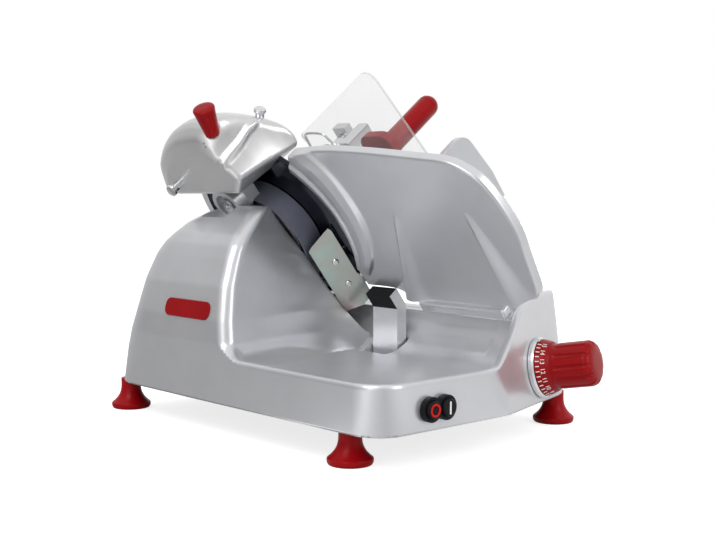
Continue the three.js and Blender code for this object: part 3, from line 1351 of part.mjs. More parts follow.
function buildCarriageFoot() {
  const { y, footHalf } = carriage;
  const collar = box(carriage.footLeft, carriage.footRight, y - footHalf, y + footHalf,
    carriage.footBottom, carriage.footTop);
  const fork = box(carriage.rodX, carriage.forkRight, y - carriage.forkHalf,
    y + carriage.forkHalf, carriage.footBottom, carriage.rodZ + carriage.rodRadius);
  const body = join(collar, fork);
  const column = box(carriage.rodX - carriage.columnHalfX - fit.gap,
    carriage.rodX + carriage.columnHalfX + fit.gap, y - carriage.columnHalfY - fit.gap,
    y + carriage.columnHalfY + fit.gap, carriage.rodZ + carriage.rodRadius + base.wall,
    carriage.footTop + fit.overrun);
  return cut(body, column, carriageRod(fit.gap), carriageBar(fit.gap));
}

function buildColumn() {
  const { rodX, y, columnHalfX, columnHalfY } = carriage;
  const tableUnder = table.surfaceV - table.thickness - fit.gap;
  const bottom = carriage.rodZ + carriage.rodRadius + base.wall + fit.gap;
  const stalk = box(rodX - columnHalfX, rodX + columnHalfX, y - columnHalfY, y + columnHalfY,
    bottom, blade.z + carriage.flangeFar);
  const under = v3(0, tableUnder, 0).applyMatrix4(cutFrame);
  const trimmed = stalk.subtract(beyondPlane(under, v3(-sin(tilt), 0, cos(tilt))));
  const u = y - blade.y;
  const flange = box(u - carriage.flangeHalf, u + carriage.flangeHalf,
    tableUnder - carriage.flangeDepth, tableUnder, carriage.flangeNear, carriage.flangeFar,
    cutFrame);
  const bore = post(carriage.lockStud + fit.gap, 0, carriage.columnHalfX + fit.overrun,
    lockFrame, { sides: fit.smallSides });
  return cut(join(trimmed, flange), bore);
}

const lockFrame = frameAt(
  world, v3(carriage.rodX, carriage.y, carriage.lockZ), v3(0, 1, 0), v3(1, 0, 0),
);

function buildLockKnob() {
  const start = carriage.columnHalfX + fit.gap;
  const end = start + carriage.lockLength;
  return turned([
    [0, fit.gap * 3], [carriage.lockStud, fit.gap * 3], [carriage.lockStud, start],
    [carriage.lockWaist, start], [carriage.lockRadius, end - carriage.lockWaist],
    [carriage.lockRadius, end - carriage.lockEdge],
    [carriage.lockRadius - carriage.lockEdge, end], [0, end],
  ], lockFrame, fit.turnSides);
}

// In this frame x is w, y is v and z runs towards the front of the carriage (-u).
const fenceFrame = new THREE.Matrix4().makeBasis(v3(0, 0, 1), v3(0, 1, 0), v3(-1, 0, 0));

function buildTable() {
  const low = table.surfaceV - table.thickness;
  const floor = box(table.frontU, table.rearU, low, table.surfaceV, table.nearW, table.farW);
  const fence = slab(rounded([
    [table.nearW, low, fit.gap], [table.farW, low, fit.gap],
    [table.farW, table.surfaceV + table.lipDrop, base.rimRound],
    [table.fenceFar + base.wall, table.fenceTop, pusher.collarRadius * 1.4],
    [table.slopeEnd, table.fenceTop, pusher.collarRadius * 1.4],
    [table.nearRun, table.nearTop, pusher.collarRadius],
    [table.nearW, table.nearTop, base.rimRound],
  ]), -table.frontU - table.fenceThickness, -table.frontU, fenceFrame);
  const lip = box(table.frontU, table.rearU, low - table.lipDrop, table.surfaceV,
    table.farW - table.lipThickness, table.farW);
  const ribs = Array.from({ length: table.ribCount }, (_, i) => {
    const u = table.frontU + table.fenceThickness + table.ribPitch * (i + 1);
    return box(u, u + table.ribWidth, table.surfaceV - table.ribHeight,
      table.surfaceV + table.ribHeight, table.nearW + table.ribWidth,
      table.farW - table.lipThickness);
  });
  const ends = [table.nearW + base.wall, table.farW - table.postThickness].map((w) => box(
    table.postFront, table.postRear, low, table.postTop, w, w + table.postThickness,
  ));
  const rod = buildPusherRod(fit.gap);
  return cut(join(floor, fence, lip, ...ribs, ...ends), rod);
}

function buildPusherRod(extra) {
  return post(pusher.rodRadius + extra, table.nearW + base.wall + fit.overrun - extra,
    table.farW - fit.overrun + extra, world, { x: pusher.rodU, y: pusher.rodV, sides: fit.sides });
}

function buildPusherArm() {
  const at = { x: pusher.rodU, y: pusher.rodV };
  const collar = post(pusher.collarRadius, pusher.armNear, pusher.collarFar, world,
    { ...at, sides: fit.fineSides });
  const arm = box(pusher.armFront, pusher.rodU, pusher.armLow, pusher.armHigh,
    pusher.armNear, pusher.armFar);
  const riser = box(pusher.barLeft, pusher.barRight, pusher.armLow, pusher.barHigh,
    pusher.armNear, pusher.armFar);
  const bar = box(pusher.barLeft, pusher.barRight, pusher.handleV, pusher.barHigh,
    pusher.armNear, pusher.barFar);
  const bore = post(pusher.bushRadius + fit.gap, pusher.armNear - fit.overrun,
    pusher.collarFar + fit.overrun, world, { ...at, sides: fit.fineSides });
  return cut(join(collar, arm, riser, bar), bore);
}

// The bush slides on the rod, and its two flanges hold the arm's collar, which turns on it.
function buildBush() {
  const { rodRadius, bushRadius, bushFlange, bushLip, armNear, collarFar } = pusher;
  const [near, far] = [armNear - fit.gap, collarFar + fit.gap];
  const bore = rodRadius + fit.gap;
  return turned([
    [bore, near - bushLip], [bushFlange, near - bushLip], [bushFlange, near],
    [bushRadius, near], [bushRadius, far], [bushFlange, far], [bushFlange, far + bushLip],
    [bore, far + bushLip], [bore, near - bushLip],
  ], new THREE.Matrix4().makeTranslation(pusher.rodU, pusher.rodV, 0));
}

function buildPusherPlate() {
  const { plateFront, plateRear, plateLow, plateHigh, plateNear } = pusher;
  const plate = slab(rounded([
    [plateFront, plateLow, base.wall], [plateRear, plateLow, base.wall],
    [plateRear, plateHigh, guard.corner], [plateFront, plateHigh, guard.corner],
  ]), plateNear, guard.near - fit.gap);
  const spikes = [];
  for (let row = 0; row < pusher.spikeRows; row += 1) {
    for (let column = 0; column < pusher.spikeColumns; column += 1) {
      const x = THREE.MathUtils.lerp(plateFront, plateRear, (column + 0.5) / pusher.spikeColumns);
      const y = THREE.MathUtils.lerp(plateLow, plateHigh, (row + 0.5) / pusher.spikeRows);
      spikes.push(post(fit.gap, plateNear - pusher.spikeLength, plateNear + fit.gap, world,
        { x, y, sides: pusher.spikeSides, top: pusher.spikeRadius }));
    }
  }
  return join(plate, ...spikes);
}

function buildGuard() {
  const outline = rounded([
    [guard.peakU, guard.peakV, guard.corner], [guard.frontU, guard.frontV, base.wall],
    [guard.fenceU, guard.frontV, fit.gap], [guard.fenceU, guard.lowV, base.wall],
    [guard.rearU - pusher.collarRadius, guard.lowV, base.wall],
    [guard.rearU - pusher.collarRadius, pusher.rodV - pusher.collarRadius, fit.gap],
    [guard.rearU - pusher.collarRadius, pusher.rodV + pusher.collarRadius, fit.gap],
    [guard.rearU, guard.rearV, base.wall],
  ]);
  return slab(outline, guard.near, guard.far);
}

// The wire's way from the bar to the rod, and from the rod's height up to its own top.
const wireShares = [
  [0.879, 0.667], [0.862, 0.929], [0.793, 1], [0.397, 0.986], [0.328, 0.952], [0.259, 0.786],
  [0.172, 0.619],
];

function buildGuardWire() {
  const middle = wireShares.map(([along, up]) => [
    THREE.MathUtils.lerp(pusher.barRight, pusher.rodU, along),
    THREE.MathUtils.lerp(pusher.rodV, guard.wireHigh, up),
  ]);
  const points = [
    [pusher.rodU - fit.overrun, pusher.rodV + pusher.collarRadius + guard.wireRadius * 1.6],
    ...middle,
    [pusher.barRight + fit.gap * 2, THREE.MathUtils.lerp(pusher.handleV, pusher.barHigh, 0.5)],
  ].map(([u, v]) => v3(u, v, guard.wireW));
  const path = new THREE.CatmullRomCurve3(points, false, 'centripetal');
  const circle = new THREE.Shape(arcPoints(
    0, 0, guard.wireRadius, 0, 360 - 360 / guard.wireSides, guard.wireSides - 1,
  ));
  return toSolid(new THREE.ExtrudeGeometry(circle, {
    steps: guard.wireSteps, extrudePath: path,
  }));
}

function buildHandle() {
  const { handleU, handleV, handleRadius, footNear, footFar, handleFar } = pusher;
  const flange = slab(rounded([
    [pusher.footFront, pusher.footLow, base.wall], [pusher.footRear, pusher.footLow, base.wall],
    [pusher.footRear, pusher.footHigh, guard.corner],
    [pusher.footFront, pusher.footHigh, guard.corner],
  ]), footNear, footFar);
  const dome = handleRadius * 0.9;
  const start = footNear + pusher.handleFlare;
  const profile = [[0, start], [handleRadius + pusher.handleFlare, start],
    [handleRadius, footFar + dome / 2], [handleRadius, handleFar - dome]];
  for (let i = 1; i <= fit.roundSteps; i += 1) {
    const angle = (i / fit.roundSteps) * (PI / 2);
    profile.push([handleRadius * cos(angle), handleFar - dome + dome * sin(angle)]);
  }
  const grip = turned(profile, new THREE.Matrix4().makeTranslation(handleU, handleV, 0),
    fit.turnSides);
  return join(flange, grip);
}

function buildGland() {
  const bore = gland.boreRadius;
  const out = gland.flangeDepth + gland.nutDepth;
  const body = turned([
    [bore, -gland.threadDepth], [gland.threadRadius, -gland.threadDepth],
    [gland.threadRadius, fit.gap], [gland.flangeRadius, fit.gap],
    [gland.flangeRadius, gland.flangeDepth], [bore, gland.flangeDepth],
    [bore, -gland.threadDepth],
  ]);
  const nut = post(gland.nutRadius, gland.flangeDepth - fit.gap, out, world, { sides: 6 });
  const hole = post(bore, 0, out + fit.overrun, world, { sides: fit.smallSides });
  return join(body, nut.subtract(hole));
}

function groupAt(matrix) {
  const group = new THREE.Group();
  group.applyMatrix4(matrix);
  model.add(group);
  return group;
}

const deflectorGroup = groupAt(deflectorFrame);
const powerGroup = groupAt(powerFrame);
const glandGroup = groupAt(glandFrame);

addPiece('base_casting', buildBase(), 'castAluminium');
addPiece('base_cover', buildBaseCover(), 'blackPlastic');
['front_left', 'front_right', 'rear_right', 'rear_left'].forEach((place, i) => {
  addPiece(`foot_${place}`, buildFoot(footPlaces()[i]), 'redRubber');
});
addPiece('badge_plate', plaque(badge.thickness, 0), 'redPlastic');
addPiece('cable_gland', buildGland(), 'blackPlastic', glandGroup);

addPiece('motor_body', buildMotorBody(), 'motorPaint', cutting);
addPiece('motor_shaft', buildMotorShaft(), 'steel', cutting);
addPiece('motor_pulley', buildMotorPulley(), 'darkSteel', cutting);
addPiece('drive_belt', buildBelt(), 'blackRubber', cutting);
addPiece('belt_cover', buildBeltCover(), 'blackPlastic', cutting);
addPiece('blade_pulley', buildBladePulley(), 'castAluminium', cutting);
addPiece('blade_shaft', buildBladeShaft(), 'steel', cutting);
addPiece('bearing_front', buildBearing(-drive.bearingFront - drive.bearingWidth), 'steel', cutting);
addPiece('bearing_rear', buildBearing(-drive.bearingRear - drive.bearingWidth), 'steel', cutting);
addPiece('blade', buildBlade(), 'bladeSteel', cutting);
boltPlaces().forEach((place, i) => {
  addPiece(`blade_screw_${i + 1}`, buildBladeScrew(place), 'steel', cutting);
});
addPiece('blade_cover', buildBladeCover(), 'brightAluminium', cutting);
addPiece('cover_screw', buildCoverScrew(), 'steel', cutting);
addPiece('blade_guard_ring', buildGuardRing(), 'brightAluminium', cutting);
addPiece('deflector_plate', buildDeflector(), 'steel', deflectorGroup);
deflectorHoles().forEach((at, i) => {
  addPiece(`deflector_screw_${i + 1}`, buildDeflectorScrew(at), 'steel', deflectorGroup);
});

addPiece('switch_plate', buildSwitchPlate(), 'blackPlastic', powerGroup);
addPiece('switch_body', buildSwitchBody(), 'blackPlastic', powerGroup);
addPiece('stop_button', buildButton(-1, ringMark), 'blackPlastic', powerGroup);
addPiece('start_button', buildButton(1, barMark), 'blackPlastic', powerGroup);

addPiece('index_ring', buildIndexRing(), 'brightAluminium', knobGroup);
addPiece('thickness_knob', buildKnob(), 'redPlastic', knobGroup);
addPiece('cam_shaft', buildCamShaft(), 'steel', knobGroup);
addPiece('gauge_bar_front', gaugeBar(slide.frontBarY, 0), 'steel');
addPiece('gauge_bar_rear', gaugeBar(slide.rearBarY, 0), 'steel');
addPiece('gauge_arm', buildGaugeArm(), 'darkSteel');
addPiece('gauge_plate', buildGaugePlate(), 'castAluminium', cutting);

addPiece('sharpener_bracket', buildBracket(), 'castAluminium', cutting);
addPiece('bracket_screw', buildBracketScrew(), 'steel', cutting);
addPiece('sharpener_hood', buildHood(), 'castAluminium', cutting);
addPiece('clamp_knob', buildClampKnob(), 'redPlastic', cutting);
addPiece('sharpening_stone', buildSharpeningStone(), 'stone', cutting);
addPiece('sharpening_spindle', buildSharpeningSpindle(), 'steel', cutting);
addPiece('honing_stone', buildHoningStone(), 'stone', cutting);
addPiece('honing_spindle', buildHoningSpindle(), 'steel', cutting);

addPiece('carriage_rod', carriageRod(0), 'steel');
addPiece('carriage_bar', carriageBar(0), 'steel');
addPiece('carriage_foot', buildCarriageFoot(), 'castAluminium');
addPiece('carriage_column', buildColumn(), 'castAluminium');
addPiece('table_lock_knob', buildLockKnob(), 'blackPlastic');
addPiece('product_table', buildTable(), 'castAluminium', cutting);
addPiece('pusher_rod', buildPusherRod(0), 'steel', cutting);
addPiece('pusher_bush', buildBush(), 'blackPlastic', cutting);
addPiece('pusher_arm', buildPusherArm(), 'brightAluminium', cutting);
addPiece('pusher_plate', buildPusherPlate(), 'blackPlastic', cutting);
addPiece('hand_guard', buildGuard(), 'clearPlastic', cutting);
addPiece('guard_wire', buildGuardWire(), 'steel', cutting);
addPiece('pusher_handle', buildHandle(), 'redPlastic', cutting);

// The part's origin is the bottom centre of its bounding box.
model.updateMatrixWorld(true);
const bounds = new THREE.Box3().setFromObject(model, true);
const middle = bounds.getCenter(v3());
model.position.set(-middle.x, -middle.y, -bounds.min.z);

export default model;
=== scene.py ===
"""Dresses the electric food slicer: cast aluminium skins, blade, dial, guard, feet and studio."""
import json
import math

import bmesh
import bpy
import numpy as np
from bpy.props import FloatProperty, FloatVectorProperty, PointerProperty
from bpy.types import Operator, Panel, PropertyGroup
from mathutils import Matrix, Vector

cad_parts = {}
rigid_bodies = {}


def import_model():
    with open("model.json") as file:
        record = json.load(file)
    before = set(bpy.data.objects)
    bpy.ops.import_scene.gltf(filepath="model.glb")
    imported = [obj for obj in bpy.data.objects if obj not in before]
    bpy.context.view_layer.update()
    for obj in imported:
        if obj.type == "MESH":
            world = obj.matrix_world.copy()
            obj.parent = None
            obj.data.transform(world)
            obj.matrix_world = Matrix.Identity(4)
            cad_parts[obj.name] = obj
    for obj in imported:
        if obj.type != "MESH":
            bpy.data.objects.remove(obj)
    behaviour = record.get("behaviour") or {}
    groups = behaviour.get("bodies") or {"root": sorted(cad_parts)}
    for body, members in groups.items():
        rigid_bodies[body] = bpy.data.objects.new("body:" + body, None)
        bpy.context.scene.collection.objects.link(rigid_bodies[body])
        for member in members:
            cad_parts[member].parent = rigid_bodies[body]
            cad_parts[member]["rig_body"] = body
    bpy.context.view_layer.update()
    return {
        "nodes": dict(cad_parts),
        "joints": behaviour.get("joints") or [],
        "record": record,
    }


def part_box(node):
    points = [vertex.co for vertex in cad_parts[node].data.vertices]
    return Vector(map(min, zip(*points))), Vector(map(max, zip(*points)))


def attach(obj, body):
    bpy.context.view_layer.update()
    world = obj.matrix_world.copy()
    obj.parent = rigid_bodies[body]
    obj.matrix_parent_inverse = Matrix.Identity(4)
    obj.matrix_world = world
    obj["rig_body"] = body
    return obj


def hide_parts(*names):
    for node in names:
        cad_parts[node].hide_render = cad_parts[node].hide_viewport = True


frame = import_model()

bl_info = {
    "name": "Food slicer dressing",
    "version": (1, 0, 0),
    "blender": (4, 5, 0),
    "location": "View3D > Sidebar > Slicer",
    "description": "Builds the finished surfaces of an electric food slicer around its frame",
    "category": "Object",
}

MM = 0.001
JOINTS = {joint["name"]: joint for joint in frame["joints"]}


# Frames of the machine, in millimetres

def joint_place(name):
    return Vector(JOINTS[name]["pos_m"]) / MM


def axes(origin, x, z):
    """A matrix whose columns are the frame's axes, with z kept and x made square to it."""
    z = Vector(z).normalized()
    x = Vector(x)
    x = (x - z * x.dot(z)).normalized()
    matrix = Matrix((x, z.cross(x), z)).transposed().to_4x4()
    matrix.translation = Vector(origin)
    return matrix


# In the cutting frame u runs away from the user, v up the blade's plane, w out of the blade.
CUT = axes(joint_place("blade_spin"), (0, 1, 0), JOINTS["blade_spin"]["axis"])
LEAN = math.asin(CUT[2][2])
KNOB_AXIS = Vector(JOINTS["knob_turn"]["axis"])
KNOB = axes(joint_place("knob_turn"), Vector((0, 0, 1)).cross(KNOB_AXIS), KNOB_AXIS)

# The casting's drawing has its own zero, and the blade's centre stands at BLADE_AT in it.
BLADE_AT = (-12.4, 66.5, 192.3)
DRAWING = Matrix.Translation(CUT.translation - Vector(BLADE_AT))


# Shapes as distance fields: negative inside, in millimetres

def round_meet(a, b, radius):
    """Where both hold, with the outer edge rounded."""
    out = np.hypot(np.maximum(a + radius, 0), np.maximum(b + radius, 0))
    return np.minimum(np.maximum(a, b), -radius) + out


def round_join(a, b, radius):
    """Where either holds, with a fillet in the corner between them."""
    return -round_meet(-a, -b, radius)


def cut_away(a, b, radius=0.0):
    return round_meet(a, -b, radius)


def block(x, y, z, low, high, radius=0.0):
    """A box between two corners with rounded edges."""
    half = [(h - l) / 2 - radius for l, h in zip(low, high)]
    d = [abs(p - (l + h) / 2) - s for p, l, h, s in zip((x, y, z), low, high, half)]
    outside = np.sqrt(sum(np.maximum(a, 0) ** 2 for a in d))
    return outside + np.minimum(np.maximum(np.maximum(d[0], d[1]), d[2]), 0) - radius


def disc(x, y, z, radius, low, high, edge=0.0):
    """A cylinder on the z axis from low to high, with rounded edges."""
    return round_meet(np.hypot(x, y) - radius, abs(z - (low + high) / 2) - (high - low) / 2, edge)


def convex_plan(x, y, corners):
    """An anticlockwise polygon whose corners are (x, y, radius)."""
    normals = []
    for (ax, ay, _), (bx, by, _) in zip(corners, corners[1:] + corners[:1]):
        length = np.hypot(bx - ax, by - ay)
        normals.append(((by - ay) / length, (ax - bx) / length))
    field = None
    for (cx, cy, _), (nx, ny) in zip(corners, normals):
        side = (x - cx) * nx + (y - cy) * ny
        field = side if field is None else np.maximum(field, side)
    for i, (cx, cy, radius) in enumerate(corners):
        (ax, ay), (bx, by) = normals[i - 1], normals[i]
        reach = radius / (1 + ax * bx + ay * by)
        qx = x - (cx - (ax + bx) * reach)
        qy = y - (cy - (ay + by) * reach)
        cone = (ax * qy - ay * qx > 0) & (qx * by - qy * bx > 0)
        field = np.where(cone, np.hypot(qx, qy) - radius, field)
    return field


def outline_field(x, y, points):
    """Signed distance to any closed outline given as points."""
    best = None
    inside = False
    for (ax, ay), (bx, by) in zip(points, points[1:] + points[:1]):
        ex, ey = bx - ax, by - ay
        t = np.clip(((x - ax) * ex + (y - ay) * ey) / (ex * ex + ey * ey), 0, 1)
        d = np.hypot(x - ax - t * ex, y - ay - t * ey)
        best = d if best is None else np.minimum(best, d)
        if ey:
            inside = inside ^ (((ay > y) != (by > y)) & (x < ex * (y - ay) / ey + ax))
    return np.where(inside, -best, best)


def eased(at, places, values, window):
    """A table read with its kinks eased over a window of the place's own units."""
    offsets = np.linspace(-1, 1, 9) * window
    weights = np.cos(np.linspace(-1, 1, 9) * math.pi / 2.2)
    total = sum(w * np.interp(at + o, places, values) for o, w in zip(offsets, weights))
    return total / weights.sum()


def ticks(start, end, step):
    """Sampling places from start to end, with both."""
    return np.append(np.arange(start, end, step), end)


def gradient(field, points, reach=0.15):
    parts = []
    for axis in range(3):
        step = np.zeros(3)
        step[axis] = reach
        ahead, behind = points + step, points - step
        parts.append(field(*ahead.T) - field(*behind.T))
    return np.stack(parts, 1) / (2 * reach)


def surface_net(field, places):
    """Points, normals and four-sided faces of the surface where a field is zero."""
    grid = np.meshgrid(*places, indexing="ij", sparse=True)
    shape = tuple(len(p) for p in places)
    values = np.broadcast_to(field(*grid), shape)
    inside = values < 0
    corners = [inside[i:i + shape[0] - 1, j:j + shape[1] - 1, k:k + shape[2] - 1]
               for i in (0, 1) for j in (0, 1) for k in (0, 1)]
    mixed = np.logical_or.reduce(corners) & ~np.logical_and.reduce(corners)
    cells = np.argwhere(mixed)
    index = np.full(mixed.shape, -1)
    index[mixed] = np.arange(len(cells))
    total = np.zeros((len(cells), 3))
    count = np.zeros(len(cells))
    faces = []
    for axis in range(3):
        second, third = (axis + 1) % 3, (axis + 2) % 3
        for a in (0, 1):
            for b in (0, 1):
                start = cells.copy()
                start[:, second] += a
                start[:, third] += b
                end = start.copy()
                end[:, axis] += 1
                f0, f1 = values[tuple(start.T)], values[tuple(end.T)]
                crosses = (f0 < 0) != (f1 < 0)
                share = np.where(crosses, f0 / np.where(crosses, f0 - f1, 1), 0)
                point = start.astype(float)
                point[:, axis] += share
                total += point * crosses[:, None]
                count += crosses
        near = [slice(None)] * 3
        far = [slice(None)] * 3
        near[axis], far[axis] = slice(0, -1), slice(1, None)
        edges = np.argwhere(inside[tuple(near)] != inside[tuple(far)])
        keep = np.all([(edges[:, k] > 0) & (edges[:, k] < shape[k] - 1)
                       for k in (second, third)], axis=0)
        edges = edges[keep]
        rings = []
        for a, b in ((-1, -1), (0, -1), (0, 0), (-1, 0)):
            cell = edges.copy()
            cell[:, second] += a
            cell[:, third] += b
            rings.append(index[tuple(cell.T)])
        ring = np.stack(rings, 1)
        outward = inside[tuple(edges.T)]
        faces.append(np.where(outward[:, None], ring, ring[:, ::-1]))
    points = total / count[:, None]
    points = np.stack([np.interp(points[:, k], np.arange(shape[k]), places[k])
                       for k in range(3)], 1)
    limit = 0.5 * min(np.diff(p).min() for p in places)
    for _ in range(2):
        slope = gradient(field, points)
        length = np.maximum((slope ** 2).sum(1), 0.05)
        move = np.clip(field(*points.T) / length, -limit, limit)
        points = points - slope * move[:, None]
    slope = gradient(field, points)
    normals = slope / np.maximum(np.linalg.norm(slope, axis=1), 1e-6)[:, None]
    return points, normals, np.concatenate(faces)


# Meshes and objects

def new_object(name, data):
    obj = bpy.data.objects.new(name, data)
    bpy.context.scene.collection.objects.link(obj)
    return obj


def evaluated_mesh(obj):
    """The mesh that an object shows with its modifiers."""
    graph = bpy.context.evaluated_depsgraph_get()
    return bpy.data.meshes.new_from_object(obj.evaluated_get(graph))


def made_plain(name, obj):
    """Puts an object without modifiers in another's place."""
    mesh = evaluated_mesh(obj)
    mesh.name = name
    bpy.data.objects.remove(obj)
    return new_object(name, mesh)


def smooth(mesh, sharp=None):
    """Shades a mesh smooth, but for edges sharper than an angle in degrees if one is given."""
    mesh.polygons.foreach_set("use_smooth", np.ones(len(mesh.polygons), bool))
    if sharp:
        mesh.set_sharp_from_angle(angle=math.radians(sharp))


def cast_piece(name, field, places, matrix):
    """A smooth skin sampled from a field, with its normals taken from the field."""
    points, normals, faces = surface_net(field, places)
    mesh = bpy.data.meshes.new(name)
    mesh.vertices.add(len(points))
    mesh.vertices.foreach_set("co", points.astype(np.float32).ravel())
    mesh.loops.add(faces.size)
    mesh.loops.foreach_set("vertex_index", faces.ravel().astype(np.int32))
    mesh.polygons.add(len(faces))
    mesh.polygons.foreach_set("loop_start", np.arange(0, faces.size, 4, dtype=np.int32))
    mesh.update(calc_edges=True)
    mesh.validate()
    smooth(mesh)
    turn = np.array(matrix.to_3x3())
    mesh.transform(Matrix.Scale(MM, 4) @ matrix)
    mesh.normals_split_custom_set_from_vertices((normals @ turn.T).tolist())
    return new_object(name, mesh)


# Base casting, drawn in its own frame

UNDERSIDE = 31.0
LEFT, RIGHT, FRONT, REAR = -155.4, 150.0, -226.7, 181.0
RIM_TOP = 73.6
RIDGE_TOP, RIDGE_END = 106.0, 86.0
DECK_TOP, DECK_START = 94.0, 45.0
TRAY_WALL, TRAY_END = 7.5, 150.0
SWEEP_AT, SWEEP_TOP, SWEEP_RADIUS = 8.0, 108.0, 42.0
HOUSING_TOP = 207.0
HOUSING_LEFT_RUN, HOUSING_REAR_RUN = 80.4, 145.0
FACET_START = (1.8, FRONT, UNDERSIDE)
FACET_ANGLE = math.radians(16.6)
FACET_AXIS = tuple(KNOB_AXIS)
HOUSING_SHARES = np.array([
    # level, left wall, rear wall, front at the left wall, front at the blade side
    (0.000, 0.000, 0.000, 0.000, 0.000),
    (0.200, 0.000, 0.064, 0.000, 0.077),
    (0.239, 0.000, 0.076, 0.205, 0.150),
    (0.307, 0.002, 0.102, 0.386, 0.310),
    (0.426, 0.042, 0.152, 0.490, 0.540),
    (0.534, 0.104, 0.182, 0.584, 0.600),
    (0.597, 0.142, 0.200, 0.639, 0.625),
    (0.733, 0.279, 0.248, 0.758, 0.690),
    (0.800, 0.360, 0.300, 0.812, 0.760),
    (0.852, 0.453, 0.366, 0.861, 0.830),
    (0.909, 0.590, 0.448, 0.911, 0.885),
    (0.960, 0.726, 0.579, 0.957, 0.940),
    (0.985, 0.800, 0.660, 0.980, 0.970),
    (1.000, 0.876, 0.731, 0.990, 1.000),
])
SHOULDER = np.array([
    (-15.2, 70.0), (3.0, 82.0), (26.9, 99.5), (42.5, 114.5), (54.2, 119.9), (66.1, 123.5),
    (83.9, 126.5), (105.1, 128.0), (150.0, 128.0),
])


def in_frame(matrix, x, y, z):
    """The same points in the axes of a frame given in the same drawing."""
    inverse = np.array(matrix.inverted())
    return [inverse[i, 0] * x + inverse[i, 1] * y + inverse[i, 2] * z + inverse[i, 3]
            for i in range(3)]


CUT_HERE = DRAWING.inverted() @ CUT


def base_plan(x, y, z):
    """The skirt's outline, drawn in towards the top at the right and the rear."""
    rise = np.maximum(z - UNDERSIDE, 0)
    right, rear = RIGHT - 0.13 * rise, REAR - 0.24 * rise
    facet_end = FRONT + math.tan(FACET_ANGLE) * (RIGHT - FACET_START[0])
    return convex_plan(x, y, [
        (LEFT, FRONT, 30), (FACET_START[0], FRONT, 14), (right, facet_end, 72),
        (right, rear, 30), (LEFT, rear, 56),
    ])


def facet(x, y, z):
    return sum((p - s) * a for p, s, a in zip((x, y, z), FACET_START, FACET_AXIS))


def sweep(x, z):
    """The tray floor and its concave rise to the ridge: negative in the metal."""
    rise = SWEEP_RADIUS - np.hypot(x - SWEEP_AT, z - SWEEP_TOP)
    return np.where(x < SWEEP_AT, z - SWEEP_TOP + SWEEP_RADIUS, rise)


def blade_side(z, offset):
    """Where a plane parallel to the blade, offset behind it, meets a level."""
    return BLADE_AT[0] + ((BLADE_AT[2] - z) * math.sin(LEAN) - offset) / math.cos(LEAN)


def housing_share(z, column):
    level = (z - UNDERSIDE) / (HOUSING_TOP - UNDERSIDE)
    return eased(level, HOUSING_SHARES[:, 0], HOUSING_SHARES[:, column], 0.018)


def left_wall(z):
    return LEFT + HOUSING_LEFT_RUN * housing_share(z, 1)


def housing(x, y, z):
    """The motor's housing: lofted from its foot to its crown, and cut by the blade's plane."""
    left, rear, front_left, front_right = [housing_share(z, k) for k in range(1, 5)]
    wall = LEFT + HOUSING_LEFT_RUN * left
    right = np.maximum(blade_side(z, 30), wall) + 10
    low, high = -45 + 44 * front_left, -16 + 52 * front_right
    back = REAR - HOUSING_REAR_RUN * rear
    body = convex_plan(x, y, [
        (wall, low, 11), (right, high, 3), (right, back, 3), (wall, back, 56 * (1 - 0.7 * left)),
    ])
    u, v, w = in_frame(CUT_HERE, x, y, z)
    body = round_meet(body, z - HOUSING_TOP, 4)
    return round_meet(body, w + 30, 2.2)


def casting(x, y, z):
    """The whole casting: skirt, tray, ridge, deck, shoulder and housing, open below."""
    plan = base_plan(x, y, z)
    flat = facet(x, y, z)
    u, v, w = in_frame(CUT_HERE, x, y, z)
    ridge = round_meet(round_meet(z - RIDGE_TOP, x - RIDGE_END, 3), sweep(x, z), 3)
    profile = round_join(ridge, round_meet(z - DECK_TOP, DECK_START - x, 1), 3)
    height = eased(x, SHOULDER[:, 0], SHOULDER[:, 1], 5)
    shoulder = np.maximum(np.maximum((z - height) * 0.86, y + 168.7), SHOULDER[0, 0] - x)
    top = round_join(round_join(z - RIM_TOP, profile, 2), shoulder, 4)
    body = round_meet(plan, top, 4)
    void = np.minimum(-sweep(x, z), np.maximum(x - 62, RIDGE_TOP - z))
    pocket = round_meet(np.maximum(plan, flat) + TRAY_WALL, void, 9)
    pocket = round_meet(pocket, y - TRAY_END, 12)
    body = cut_away(body, pocket, 2.4)
    body = round_meet(body, flat, 3)
    fillet = np.clip((-x - 20) / 60, 0, 1) * np.clip((60 - y) / 40, 0, 1)
    body = round_join(body, housing(x, y, z), 0.01 + 14 * fillet)
    body = np.maximum(body, left_wall(z) - x)
    body = round_meet(body, UNDERSIDE - z, 1)
    body = np.minimum(body, disc(u, v, w, 44, -36, -30, 1))
    for shape in casting_voids(x, y, z, u, v, w, plan, flat):
        body = cut_away(body, shape, 0.5)
    return body


def casting_voids(x, y, z, u, v, w, plan, flat):
    """The seat of the bottom cover, the room below, and the openings round the blade."""
    inner = np.maximum(plan, flat) + 5
    channel = np.maximum(inner, block(x, y, z, (88, -200, 30), (160, 172, 89)))
    return [
        np.maximum(inner, z - 34.3), channel,
        block(x, y, z, (98, -168, 80), (126, 128, 200), 1),
        block(x, y, z, (6.2, -62.5, 57), (40, -24.5, 106), 1),
        disc(u, v, w, 110, -10, 4.4, 0.5),
        disc(u + 2, v - 54, w, 19.3, -67, -28),
        block(u, v, w, (-21.3, 47.7, -35.4), (17.3, 106, -20)),
    ]


# Gauge plate, drawn in the cutting frame

